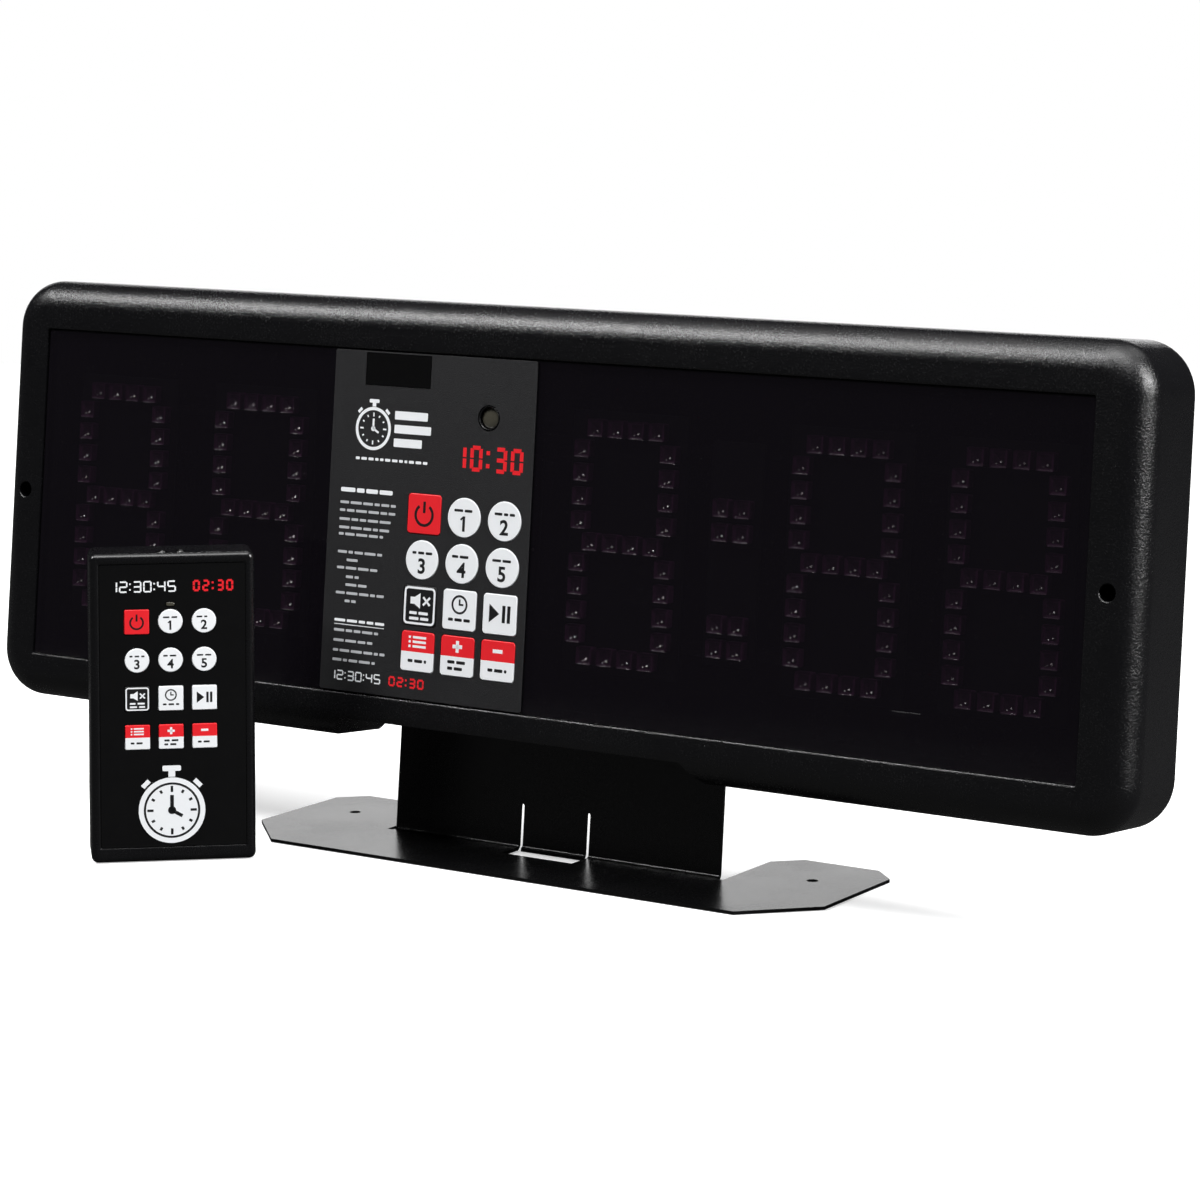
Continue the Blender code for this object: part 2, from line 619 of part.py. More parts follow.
def make_window(material, head):
    gap = 2 * GAP
    outline = rounded_box(WINDOW_WIDTH - gap, WINDOW_HEIGHT - gap, WINDOW_CORNER)
    sheet = prism(outline, WINDOW_SINK, WINDOW_SINK + WINDOW_THICKNESS)
    window = make_piece("display_window", sheet, material, head)
    cut(window, prism(strip_cutout(), WINDOW_SINK - CUT_PAST, WINDOW_SINK + WINDOW_THICKNESS + CUT_PAST))


def key_grid(right, top, pitch):
    """Each key's name, its place, and whether it is round, from the middle of the top right key."""
    for row, names in enumerate(KEY_NAMES):
        for column, name in enumerate(names):
            place = (right - (2 - column) * pitch[0], top - row * pitch[1])
            yield name, place, name.startswith("preset")


def strip_keys():
    pitch = (KEY_SIZE + KEY_GAP[0], KEY_SIZE + KEY_GAP[1])
    return key_grid(KEYS_RIGHT, KEYS_BOTTOM + (len(KEY_NAMES) - 1) * pitch[1], pitch)


def remote_keys():
    pitch = (REMOTE_KEY + REMOTE_KEY_GAP[0], REMOTE_KEY + REMOTE_KEY_GAP[1])
    return key_grid(REMOTE_KEYS_RIGHT, REMOTE_KEYS_TOP, pitch)


def key_outline(size, corner, is_round, centre=(0.0, 0.0)):
    if is_round:
        return circle(size / 2, centre)
    return rounded_box(size, size, corner, centre)


def make_strip(materials, head):
    back = STRIP_FRONT + STRIP_THICKNESS
    outline = rounded_box(STRIP_WIDTH, STRIP_HEIGHT, WINDOW_CORNER, (STRIP_CENTRE, 0))
    strip = make_piece("keypad_overlay", prism(outline, STRIP_FRONT, back), materials["print"], head)
    size = KEY_SIZE + 2 * HOLE_CLEARANCE
    openings = bmesh.new()
    for _, place, is_round in strip_keys():
        hole = key_outline(size, KEY_CORNER + HOLE_CLEARANCE, is_round, place)
        add_prism(openings, hole, STRIP_FRONT - CUT_PAST, back + CUT_PAST)
    w, h = RECEIVER_SIZE
    left, top, right = STRIP_CENTRE - STRIP_WIDTH / 2, STRIP_HEIGHT / 2, STRIP_CENTRE + STRIP_WIDTH / 2
    receiver = (left + RECEIVER_EDGES[0] + w / 2, top - RECEIVER_EDGES[1] - h / 2)
    lens = (right - LENS_INSET, top - LENS_DROP)
    add_prism(openings, rectangle(w, h, receiver), STRIP_FRONT - CUT_PAST, back + CUT_PAST)
    hole = circle(LENS_RADIUS + HOLE_CLEARANCE, lens)
    add_prism(openings, hole, STRIP_FRONT - CUT_PAST, back + CUT_PAST)
    cut(strip, openings)

    gap = 2 * GAP
    pane = prism(rectangle(w - gap, h - gap, receiver), STRIP_FRONT, back)
    make_piece("receiver_window", pane, materials["filter"], head)
    slopes = [i * math.pi / 2 / LENS_STEPS for i in range(LENS_STEPS + 1)]
    ball = [(LENS_RADIUS * math.sin(a), STRIP_FRONT + LENS_BULGE * (1 - math.cos(a))) for a in slopes]
    end = STRIP_FRONT + LENS_BULGE + LENS_DEPTH
    make_piece("sensor_lens", turned([*ball, (LENS_RADIUS, end), (0, end)], lens), materials["lens"], head)


def make_keys(materials, head):
    for name, (x, z), is_round in strip_keys():
        lip = key_outline(KEY_SIZE + 2 * KEY_LIP, KEY_CORNER + KEY_LIP, is_round)
        colour = materials[KEY_COLOURS.get(name, "key_white")]
        key = make_piece(f"key_{name}", prism(lip, KEY_CAP, KEY_DEPTH), colour, head, (x, 0, z))
        join(key, prism(key_outline(KEY_SIZE, KEY_CORNER, is_round), 0, KEY_CAP + OVERLAP))


def make_keypad_board(material, head):
    front = KEYPAD_BOARD_FRONT
    width = STRIP_WIDTH - 2 * (STRIP_BORDER + BOARD_CLEARANCE)
    height = WINDOW_HEIGHT - 2 * (WINDOW_LEDGE + BOARD_CLEARANCE)
    outline = rectangle(width, height, (STRIP_CENTRE, 0))
    board = make_piece("keypad_board", prism(outline, front, front + BOARD), material, head)
    domes = bmesh.new()
    for _, place, _ in strip_keys():
        add_prism(domes, circle(DOME_RADIUS, place, TINY_ROUND), KEY_DEPTH + KEY_TRAVEL + GAP, front + OVERLAP)
    join(board, domes)


def digit_leds():
    """Centres of the 28 LEDs of one seven-segment digit, four to a segment."""
    steps = [i * LED_PITCH - SEGMENT_LENGTH / 2 for i in range(SEGMENT_LEDS)]
    level = [(s, row * DIGIT_ROWS) for row in (-1, 0, 1) for s in steps]
    upright = [
        (side * DIGIT_COLUMNS / 2, half * DIGIT_ROWS / 2 + s) for side in (-1, 1) for half in (-1, 1) for s in steps
    ]
    return level + upright


def colon_leds():
    """Centres of the colon's two dots, two by two LEDs each, one LED below the middles of a digit's halves."""
    steps = (-LED_PITCH / 2, LED_PITCH / 2)
    return [(x, half * DIGIT_ROWS / 2 - LED_PITCH + z) for half in (-1, 1) for x in steps for z in steps]


def digit_centres():
    """The five digits across the window, two to the left of the strip and three to the right."""
    first = -WINDOW_WIDTH / 2 + LAYOUT_LEFT + DIGIT_COLUMNS / 2
    last = WINDOW_WIDTH / 2 - LAYOUT_RIGHT - DIGIT_COLUMNS / 2
    fourth = last - LAYOUT_RIGHT_PAIR - DIGIT_COLUMNS
    third = fourth - LAYOUT_COLON - DIGIT_COLUMNS
    return [first, first + DIGIT_COLUMNS + LAYOUT_LEFT_PAIR, third, fourth, last]


def make_led_board(name, leds, x, material, head):
    """A board with a margin round its LEDs, which are part of it."""
    back = LED_FRONT + LED_HEIGHT
    room = LED_SIZE + 2 * BOARD_MARGIN
    size = (2 * max(abs(x) for x, _ in leds) + room, 2 * max(abs(z) for _, z in leds) + room)
    board = make_piece(name, prism(rectangle(*size), back, back + BOARD), material, head, (x, 0, 0))
    bodies = [(rectangle(LED_SIZE, LED_SIZE, place), LED_FRONT, back + OVERLAP) for place in leds]
    join(board, prisms(bodies))


def main_board_posts():
    w, h = MAIN_BOARD
    inset = 2 * POST_RADIUS
    return [(STRIP_CENTRE + a * (w / 2 - inset), b * (h / 2 - inset)) for a in (-1, 1) for b in (-1, 1)]


def make_main_board(material, head):
    front = MAIN_BOARD_FRONT
    outline = rectangle(*MAIN_BOARD, (STRIP_CENTRE, 0))
    board = make_piece("main_board", prism(outline, front, front + BOARD), material, head)
    parts = []
    for (x, z), (w, h), height in MAIN_BOARD_PARTS:
        outline = rectangle(w * MM, h * MM, (STRIP_CENTRE + x * MM, z * MM))
        parts.append((outline, front - height * MM, front + OVERLAP))
    join(board, prisms(parts))


def make_buzzer(material, head):
    back = COVER_INSIDE - GAP
    front = back - BUZZER_DEPTH
    profile = [(0, front), (BUZZER_RADIUS - MM, front), (BUZZER_RADIUS, front + MM), (BUZZER_RADIUS, back), (0, back)]
    make_piece("buzzer", turned(profile, (BUZZER_X, 0)), material, head)


def make_power_inlet(material, head):
    x, z = INLET_PLACE
    body = prism(rectangle(*INLET_SIZE), CASE_DEPTH - INLET_DEPTH, CASE_DEPTH)
    inlet = make_piece("power_inlet", body, material, head, (x, 0, z))
    mouth = circle(INLET_SOCKET_RADIUS, steps=SMALL_ROUND)
    depth = INLET_SOCKET_DEPTH
    cut(inlet, prism(mouth, CASE_DEPTH - depth, CASE_DEPTH + CUT_PAST))
    pin = prism(circle(INLET_PIN_RADIUS, steps=TINY_ROUND), CASE_DEPTH - depth - OVERLAP, CASE_DEPTH - MM)
    join(inlet, pin)


def make_screws(material, head):
    for side, name in ((-1, "left"), (1, "right")):
        body = moved(screw(CASE_SCREW_RADIUS, CASE_SCREW_HEAD, CASE_SCREW_LENGTH), (0, CASE_SCREW_SINK, 0))
        piece = make_piece(f"case_screw_{name}", body, material, head, (side * CASE_SCREW_X, 0, 0))
        cut(piece, moved(driver_slot(CASE_SCREW_HEAD), (0, CASE_SCREW_SINK, 0)))
    back = CASE_DEPTH + GAP + SHEET + GAP + STAND_SCREW_HEAD[1]
    for number, (x, z) in enumerate(stand_screw_places(), 1):
        body = screw(STAND_SCREW_RADIUS, STAND_SCREW_HEAD, STAND_SCREW_LENGTH)
        slot = driver_slot(STAND_SCREW_HEAD)
        for shape in (body, slot):
            bmesh.ops.scale(shape, verts=shape.verts, vec=(1, -1, 1))
            bmesh.ops.reverse_faces(shape, faces=shape.faces)
            moved(shape, (0, back, 0))
        piece = make_piece(f"stand_screw_{number}", body, material, head, (x, 0, z))
        cut(piece, slot)


# ---------------------------------------------------------------- remote


def face_box(inset):
    """The remote's face plate outline, smaller by an inset."""
    side, bottom, top = FACE_MARGINS
    height = REMOTE_HEIGHT - bottom - top
    centre = (0, bottom + height / 2)
    return rounded_box(REMOTE_WIDTH - 2 * side - 2 * inset, height - 2 * inset, REMOTE_KEY_CORNER, centre)


def indicator_outline(margin, centre):
    width, height = (side + 2 * margin for side in INDICATOR_SIZE)
    return rounded_box(width, height, NEARLY_HALF * height, centre)


def remote_outline(inset=0.0):
    """The remote's outline, smaller by an inset."""
    size = (REMOTE_WIDTH - 2 * inset, REMOTE_HEIGHT - 2 * inset)
    return rounded_box(*size, REMOTE_CORNER - inset / 2, (0, REMOTE_HEIGHT / 2))


def emitter_places():
    return [side * EMITTER_SPACING / 2 for side in (-1, 1)]


def upright_round(radius, x, y, low, high, steps=SMALL_ROUND):
    """A round bar standing along the remote's height."""
    shape = bmesh.new()
    bar = bmesh.ops.create_cone(
        shape, cap_ends=True, segments=steps, radius1=radius, radius2=radius, depth=high - low
    )["verts"]
    bmesh.ops.translate(shape, verts=bar, vec=(x, y, (low + high) / 2))
    return shape


def make_remote_shells(material, remote):
    front = make_piece(
        "remote_front",
        front_rounded(remote_outline(), REMOTE_ROUNDING, 0, REMOTE_SPLIT, CORNER_STEPS),
        material,
        remote,
    )
    cut(front, prism(remote_outline(REMOTE_WALL), REMOTE_FRONT_WALL, REMOTE_SPLIT + CUT_PAST))
    floor = FACE_SINK + FACE_THICKNESS + GAP
    cut(front, prism(face_box(0), -CUT_PAST, floor))
    openings = bmesh.new()
    size = REMOTE_KEY + 2 * HOLE_CLEARANCE
    past = REMOTE_FRONT_WALL + CUT_PAST
    for _, place, is_round in remote_keys():
        add_prism(openings, key_outline(size, REMOTE_KEY_CORNER + HOLE_CLEARANCE, is_round, place), 0, past)
    spot = indicator_outline(HOLE_CLEARANCE, INDICATOR_PLACE)
    add_prism(openings, spot, 0, past)
    cut(front, openings)
    for x in emitter_places():
        bore = EMITTER_RADIUS + HOLE_CLEARANCE
        low = REMOTE_HEIGHT - REMOTE_WALL - CUT_PAST
        cut(front, upright_round(bore, x, EMITTER_DEPTH, low, REMOTE_HEIGHT + CUT_PAST))

    low = REMOTE_SPLIT + GAP
    back = make_piece("remote_back", prism(remote_outline(), low, REMOTE_DEPTH), material, remote)
    cut(back, prism(remote_outline(REMOTE_WALL), low - CUT_PAST, REMOTE_DEPTH - REMOTE_WALL))
    w, h = BATTERY_COVER
    centre = (0, BATTERY_COVER_BOTTOM + h / 2)
    cut(back, prism(rectangle(w, h, centre), REMOTE_DEPTH - REMOTE_WALL - CUT_PAST, REMOTE_DEPTH + CUT_PAST))


def make_remote_face(materials, remote):
    back = FACE_SINK + FACE_THICKNESS
    face = make_piece("remote_face", prism(face_box(GAP), FACE_SINK, back), materials["print"], remote)
    openings = bmesh.new()
    size = REMOTE_KEY + 2 * HOLE_CLEARANCE
    for _, place, is_round in remote_keys():
        hole = key_outline(size, REMOTE_KEY_CORNER + HOLE_CLEARANCE, is_round, place)
        add_prism(openings, hole, FACE_SINK - CUT_PAST, back + CUT_PAST)
    spot = indicator_outline(HOLE_CLEARANCE, INDICATOR_PLACE)
    add_prism(openings, spot, FACE_SINK - CUT_PAST, back + CUT_PAST)
    cut(face, openings)


def make_remote_keys(materials, remote):
    neck = REMOTE_FRONT_WALL + GAP
    for name, (x, z), is_round in remote_keys():
        lip = key_outline(REMOTE_KEY + 2 * REMOTE_KEY_LIP, REMOTE_KEY_CORNER + REMOTE_KEY_LIP, is_round)
        colour = materials[KEY_COLOURS.get(name, "key_white")]
        key = make_piece(f"remote_key_{name}", prism(lip, neck, REMOTE_KEY_DEPTH), colour, remote, (x, 0, z))
        join(key, prism(key_outline(REMOTE_KEY, REMOTE_KEY_CORNER, is_round), 0, neck + OVERLAP))


def make_remote_inside(materials, remote):
    front = REMOTE_BOARD_FRONT
    inset = REMOTE_WALL + 2 * GAP
    size = (REMOTE_WIDTH - 2 * inset, REMOTE_HEIGHT - 2 * inset - EMITTER_LENGTH)
    centre = (0, inset + size[1] / 2)
    plate = prism(rectangle(*size, centre), front, front + BOARD)
    board = make_piece("remote_board", plate, materials["board"], remote)
    domes = bmesh.new()
    top = REMOTE_KEY_DEPTH + KEY_TRAVEL + GAP
    for _, place, _ in remote_keys():
        add_prism(domes, circle(REMOTE_DOME_RADIUS, place, TINY_ROUND), top, front + OVERLAP)
    join(board, domes)

    for x, name in zip(emitter_places(), ("left", "right")):
        top = EMITTER_PROUD
        body = turned(
            [
                (0, -top),
                (EMITTER_RADIUS / 2, -top / 2),
                (EMITTER_RADIUS, top),
                (EMITTER_RADIUS, EMITTER_LENGTH),
                (0, EMITTER_LENGTH),
            ],
            steps=SMALL_ROUND,
        )
        bmesh.ops.rotate(body, verts=body.verts, cent=(0, 0, 0), matrix=tip_up())
        make_piece(f"remote_emitter_{name}", body, materials["filter"], remote, (x, EMITTER_DEPTH, REMOTE_HEIGHT))

    lamp = prism(indicator_outline(0, (0, 0)), FACE_SINK, front - GAP)
    x, z = INDICATOR_PLACE
    make_piece("remote_indicator", lamp, materials["lens"], remote, (x, 0, z))

    depth = REMOTE_DEPTH - REMOTE_WALL - GAP - BATTERY_RADIUS
    for x, name in ((-1, "left"), (1, "right")):
        place = (x * (BATTERY_RADIUS + GAP), depth, 0)
        cell = upright_round(BATTERY_RADIUS, 0, 0, BATTERY_BOTTOM, BATTERY_BOTTOM + BATTERY_LENGTH)
        make_piece(f"battery_{name}", cell, materials["battery"], remote, place)

    w, h = BATTERY_COVER
    gap = 2 * GAP
    outline = rectangle(w - gap, h - gap)
    lid = prism(outline, -REMOTE_WALL, 0)
    middle = BATTERY_COVER_BOTTOM + h / 2
    make_piece("battery_cover", lid, materials["case"], remote, (0, REMOTE_DEPTH, middle))


def tip_up():
    """Turns a shape drawn along the depth axis so that its front points up."""
    return Vector((0, -1, 0)).rotation_difference(Vector((0, 0, 1))).to_matrix()


# ---------------------------------------------------------------- assembly


def make_materials():
    return {
        "case": make_material("black_abs", (0.012, 0.012, 0.013), 0.42),
        "sheet": make_material("black_powder_coat", (0.02, 0.02, 0.021), 0.35, 0.3),
        "window": make_material("smoked_acrylic", (0.004, 0.003, 0.005), 0.06),
        "print": make_material("printed_film", (0.018, 0.018, 0.02), 0.35),
        "filter": make_material("dark_filter", (0.003, 0.003, 0.003), 0.08),
        "lens": make_material("clear_lens", (0.25, 0.24, 0.22), 0.1),
        "board": make_material("dark_circuit_board", (0.01, 0.012, 0.014), 0.5),
        "led": make_material("led_board", (0.03, 0.012, 0.03), 0.3),
        "steel": make_material("blackened_steel", (0.1, 0.1, 0.105), 0.35, 1.0),
        "battery": make_material("battery_jacket", (0.3, 0.3, 0.32), 0.3, 0.6),
        "key_white": make_material("key_white", (0.78, 0.8, 0.8), 0.35),
        "key_red": make_material("key_red", (0.75, 0.01, 0.02), 0.35),
        "key_black": make_material("key_black", (0.015, 0.015, 0.016), 0.35),
    }


def main():
    clear_scene()
    materials = make_materials()
    fold_frame = make_frame("fold_line", (0, BASE_FRONT / 2, 0))
    lean_frame = make_frame("flange_plane", (0, 0, SHEET), (-LEAN, 0, 0), fold_frame)
    head = make_frame("head", (0, -CASE_DEPTH - GAP, HEAD_RISE), parent=lean_frame)
    remote = make_frame("remote", (*REMOTE_PLACE, 0), (0, 0, REMOTE_TURN))

    make_stand(materials["sheet"], fold_frame, lean_frame)
    make_front_case(materials["case"], head)
    make_rear_cover(materials["case"], head)
    make_window(materials["window"], head)
    make_strip(materials, head)
    make_keys(materials, head)
    make_keypad_board(materials["board"], head)
    centres = digit_centres()
    for number, x in enumerate(centres, 1):
        make_led_board(f"digit_{number}", digit_leds(), x, materials["led"], head)
    make_led_board("colon", colon_leds(), (centres[2] + centres[3]) / 2, materials["led"], head)
    make_main_board(materials["board"], head)
    make_buzzer(materials["steel"], head)
    make_power_inlet(materials["case"], head)
    make_screws(materials["steel"], head)

    make_remote_shells(materials["case"], remote)
    make_remote_face(materials, remote)
    make_remote_keys(materials, remote)
    make_remote_inside(materials, remote)


main()
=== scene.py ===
"""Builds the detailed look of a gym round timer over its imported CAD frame.

The timer's head is drawn in its own frame: the origin is the middle of the display on the bezel's front, +X to
the right, +Y going into the case and +Z up. The remote is drawn in a frame at the bottom middle of its front
face. Each finished mesh is then moved to its place, so every object stays at the origin of the row frame.
"""

import json
import math

import bmesh
import bpy
from mathutils import Matrix, Vector


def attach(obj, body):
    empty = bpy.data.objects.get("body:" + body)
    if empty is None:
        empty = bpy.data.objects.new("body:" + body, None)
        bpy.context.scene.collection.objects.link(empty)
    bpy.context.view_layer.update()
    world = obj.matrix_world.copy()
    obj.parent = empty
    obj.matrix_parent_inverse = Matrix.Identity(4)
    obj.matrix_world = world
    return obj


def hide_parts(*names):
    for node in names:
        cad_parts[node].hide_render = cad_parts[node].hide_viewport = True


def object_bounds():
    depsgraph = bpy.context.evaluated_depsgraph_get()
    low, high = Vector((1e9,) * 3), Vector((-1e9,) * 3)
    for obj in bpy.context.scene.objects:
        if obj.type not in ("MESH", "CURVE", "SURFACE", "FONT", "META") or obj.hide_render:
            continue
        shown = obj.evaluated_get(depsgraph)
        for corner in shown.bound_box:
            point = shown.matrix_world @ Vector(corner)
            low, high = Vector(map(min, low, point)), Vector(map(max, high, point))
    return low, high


bl_info = {
    "name": "Gym Round Timer",
    "version": (1, 0, 0),
    "blender": (4, 5, 0),
    "location": "View3D > Sidebar > Round Timer",
    "description": "Makes the detailed pieces of a gym round timer, its stand and its remote",
    "category": "Object",
}

MM = 0.001
PAST = 1 * MM  # how far a cutter runs past the wall that it cuts

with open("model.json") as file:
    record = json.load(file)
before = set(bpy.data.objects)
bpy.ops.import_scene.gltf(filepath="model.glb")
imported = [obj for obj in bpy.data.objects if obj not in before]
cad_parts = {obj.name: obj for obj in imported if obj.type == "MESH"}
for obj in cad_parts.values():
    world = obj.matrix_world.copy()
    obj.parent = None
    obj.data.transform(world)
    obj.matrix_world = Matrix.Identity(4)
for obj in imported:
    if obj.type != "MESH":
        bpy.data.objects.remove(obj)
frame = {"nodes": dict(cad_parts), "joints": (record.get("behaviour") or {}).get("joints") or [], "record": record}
CAD_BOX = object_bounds()
NODES = frame["nodes"]
BODY_OF = {node: body for body, nodes in frame["record"]["behaviour"]["bodies"].items() for node in nodes}
AXIS_OF = {joint["name"]: joint["axis"] for joint in frame["joints"]}


def points_of(node, place):
    """A CAD node's corners, measured in a given frame."""
    back = place.inverted()
    return [back @ vertex.co for vertex in NODES[node].data.vertices]


def extent(node, place):
    """Lowest and highest corner of a CAD node, measured in a given frame."""
    points = points_of(node, place)
    return Vector(map(min, zip(*points))), Vector(map(max, zip(*points)))


def head_place():
    """The head's frame: it leans back as far as its keys' axis, with its origin in the middle of the display."""
    lean = Matrix.Rotation(-math.asin(-AXIS_OF["press_power"][2]), 4, "X")
    low, high = extent("display_window", lean)
    front = extent("front_case", lean)[0].y
    return lean @ Matrix.Translation(((low.x + high.x) / 2, front, (low.z + high.z) / 2))


def remote_place():
    """The remote's frame: it turns with its battery cover's axis, with its origin at the foot of the front."""
    axis = AXIS_OF["battery_cover_release"]
    turn = Matrix.Rotation(math.atan2(-axis[0], axis[1]), 4, "Z")
    low, high = extent("remote_front", turn)
    return turn @ Matrix.Translation(((low.x + high.x) / 2, low.y, low.z))


HEAD = head_place()
REMOTE = remote_place()
PLACE_OF = {
    node: REMOTE if body.startswith("remote") or body == "battery_cover" else HEAD for node, body in BODY_OF.items()
}
BOX_OF = {node: extent(node, PLACE_OF[node]) for node in BODY_OF}
KEYS = [node.removeprefix("key_") for node in BODY_OF if node.startswith("key_")]


def middle(node):
    """The middle of a CAD node's box in its own frame."""
    low, high = BOX_OF[node]
    return (low + high) / 2


def size(node):
    """A CAD node's width, depth and height in its own frame."""
    low, high = BOX_OF[node]
    return high - low


CASE_LOW, CASE_HIGH = BOX_OF["front_case"]
WINDOW_LOW, WINDOW_HIGH = BOX_OF["display_window"]
STRIP_LOW, STRIP_HIGH = BOX_OF["keypad_overlay"]
BRACKET = points_of("stand_bracket", HEAD)
BRACKET_TOP = max(point.z for point in BRACKET)
FLANGE_HALF = max(point.x for point in BRACKET if point.z > BRACKET_TOP - 5 * MM)
COVER_TOP = BOX_OF["rear_cover"][1].z
COVER_FRONT = min(point.y for point in points_of("rear_cover", HEAD) if point.z > COVER_TOP - 2 * MM)
BOSS_END = COVER_FRONT - 11 * MM


# ---------------------------------------------------------------- sizes, colours and finishes


def length(name, description, default):
    """A size in metres."""
    return bpy.props.FloatProperty(name=name, description=description, default=default, unit="LENGTH", precision=5)


def colour(name, description, default):
    """A colour in linear red, green and blue."""
    return bpy.props.FloatVectorProperty(
        name=name, description=description, default=default, subtype="COLOR", min=0, max=1
    )


def share(name, description, default):
    """A finish's setting from 0 to 1."""
    return bpy.props.FloatProperty(name=name, description=description, default=default, subtype="FACTOR", min=0, max=1)


class TimerCaseSizes(bpy.types.PropertyGroup):
    corner: length("Corner", "Radius of the case's four corners", 22 * MM)
    rounding: length("Front rounding", "Radius of the large front edge", 13 * MM)
    wall: length("Wall", "Thickness of the case's sides", 3 * MM)
    bezel: length("Bezel", "Thickness of the front round the window", 7 * MM)
    back_edge: length("Back edge", "Rounding of the case's back rim", 0.8 * MM)
    cover_edge: length("Cover edge", "Rounding of the rear cover's rim", 0.25 * MM)
    window_edge: length("Window edge", "Width of the slope round the window's pocket", 0.9 * MM)
    edge_depth: length("Edge depth", "Depth of that slope", 0.5 * MM)
    ledge: length("Ledge", "Width of the ledge that the window lies on", 4 * MM)
    inner_rounding: length("Inner rounding", "Rounding inside the case's front edge", 4 * MM)
    fit: length("Fit", "Gap between pieces that seat on each other", 0.3 * MM)
    notch_rise: length("Notch rise", "Height of the cut over the stand", 9 * MM)
    notch_room: length("Notch room", "Gap beside the stand in that cut", 2.5 * MM)
    seat: length("Seat", "Width of the rim round the rear cover", 1.5 * MM)
    boss: length("Boss", "Radius of the posts for the two front screws", 6 * MM)
    well: length("Well", "Radius of the two screw wells in the bezel", 3.5 * MM)
    well_flare: length("Well flare", "How much wider the wells' mouths are cut", 2.4 * MM)
    bore: length("Bore", "Radius of the screws' bores in the posts", 1.8 * MM)


class TimerDisplaySizes(bpy.types.PropertyGroup):
    window_bevel: length("Window bevel", "Width of the polished slope round the window", 0.8 * MM)
    bevel_depth: length("Bevel depth", "Depth of that slope", 0.45 * MM)
    led_width: length("LED width", "Side of an LED", 7.6 * MM)
    board: length("Board", "Thickness of a digit's board", 1.6 * MM)
    led_rim: length("LED rim", "Width of the rim round an LED's cup", 0.95 * MM)
    led_cup: length("LED cup", "Depth of an LED's cup", 0.9 * MM)
    led_pad: length("LED pad", "Radius of a contact pad in the cup", 0.55 * MM)
    led_pad_drop: length("Pad drop", "How far below the middle the pads sit", 1.9 * MM)


class TimerVentSizes(bpy.types.PropertyGroup):
    inset: length("Inset", "From the window's end to the middle of the vents", 76 * MM)
    rise: length("Rise", "Height of the vents over the display's middle", 61 * MM)
    pad_width: length("Pad width", "Width of a dust screen", 58 * MM)
    pad_height: length("Pad height", "Height of a dust screen", 34 * MM)
    pad_thickness: length("Pad thickness", "Thickness of a dust screen", 2.5 * MM)


class TimerKeySizes(bpy.types.PropertyGroup):
    lip: length("Lip", "Flange behind the face that holds a key in", 0.7 * MM)
    edge: length("Key edge", "Rounding of a key's front", 0.35 * MM)
    corner: length("Key corner", "Corner radius of a square key", 1.6 * MM)
    clearance: length("Clearance", "Gap round a key in its hole", 0.3 * MM)
    ink: length("Ink", "Thickness of the printed ink", 0.03 * MM)
    lens_rim: length("Lens rim", "Width of the collar round the sensor's lens", 0.8 * MM)
    lens_sink: length("Lens sink", "How far the lens lies behind its collar", 0.9 * MM)
    lens_dome: length("Lens dome", "Height of the lens's dome", 1.1 * MM)


class TimerRemoteSizes(bpy.types.PropertyGroup):
    corner: length("Corner", "Corner radius of the remote", 3 * MM)
    rounding: length("Front rounding", "Rounding of the remote's front edge", 2.4 * MM)
    back_rounding: length("Back rounding", "Rounding of the remote's back edge", 1.2 * MM)
    wall: length("Wall", "Thickness of the remote's sides", 2 * MM)
    front_wall: length("Front wall", "Thickness of the remote's front", 3.2 * MM)
    key_corner: length("Key corner", "Corner radius of a square key", 0.6 * MM)
    grip: length("Grip", "Depth of the battery cover's grip grooves", 0.5 * MM)
    face_corner: length("Face corner", "Corner radius of the face plate", 0.6 * MM)
    flare: length("Flare", "Width of the slope round the face plate, carried past the front", 2.2 * MM)
    fit: length("Fit", "Gap between pieces that seat on each other", 0.3 * MM)
    emitter_dome: length("Emitter dome", "Height of an emitter's dome", 2.4 * MM)


class TimerColours(bpy.types.PropertyGroup):
    moulding: colour("Moulding", "Black plastic of the cases", (0.0024, 0.0024, 0.0029))
    sheet: colour("Sheet", "Powder coat of the stand", (0.0016, 0.0016, 0.0018))
    acrylic: colour("Acrylic", "Tinted window", (0.006, 0.0048, 0.007))
    film: colour("Film", "Printed film of the keypad strip", (0.0055, 0.0055, 0.0063))
    dark_filter: colour("Filter", "Receiver window and emitters", (0.002, 0.002, 0.002))
    white: colour("White", "White keys and ink", (0.9, 0.92, 0.94))
    red: colour("Red", "Red keys and ink", (0.82, 0.014, 0.022))
    grey: colour("Grey", "Small grey print", (0.5, 0.51, 0.53))
    black: colour("Black", "Black ink and keys", (0.006, 0.006, 0.007))
    led: colour("LED", "Unlit LED bodies", (0.26, 0.075, 0.22))
    lens: colour("Lens", "Sensor's lens", (0.06, 0.056, 0.042))
    board: colour("Board", "Solder mask", (0.004, 0.012, 0.008))
    steel: colour("Steel", "Blackened steel", (0.07, 0.07, 0.075))
    floor: colour("Floor", "Studio floor", (0.86, 0.86, 0.86))


class TimerFinish(bpy.types.PropertyGroup):
    grain: length("Grain", "Size of the moulded grain", 0.9 * MM)
    grain_depth: length("Grain depth", "Depth of the moulded grain", 0.27 * MM)
    moulded_roughness: share("Moulded roughness", "Roughness of the black plastic", 0.25)
    coat_roughness: share("Coat roughness", "Roughness of the powder coat", 0.26)
    acrylic_tint: share("Tint", "How much light each face of the window stops", 0.6)


GROUPS = {
    "timer_case": TimerCaseSizes,
    "timer_display": TimerDisplaySizes,
    "timer_vents": TimerVentSizes,
    "timer_keys": TimerKeySizes,
    "timer_remote": TimerRemoteSizes,
    "timer_colours": TimerColours,
    "timer_finish": TimerFinish,
}


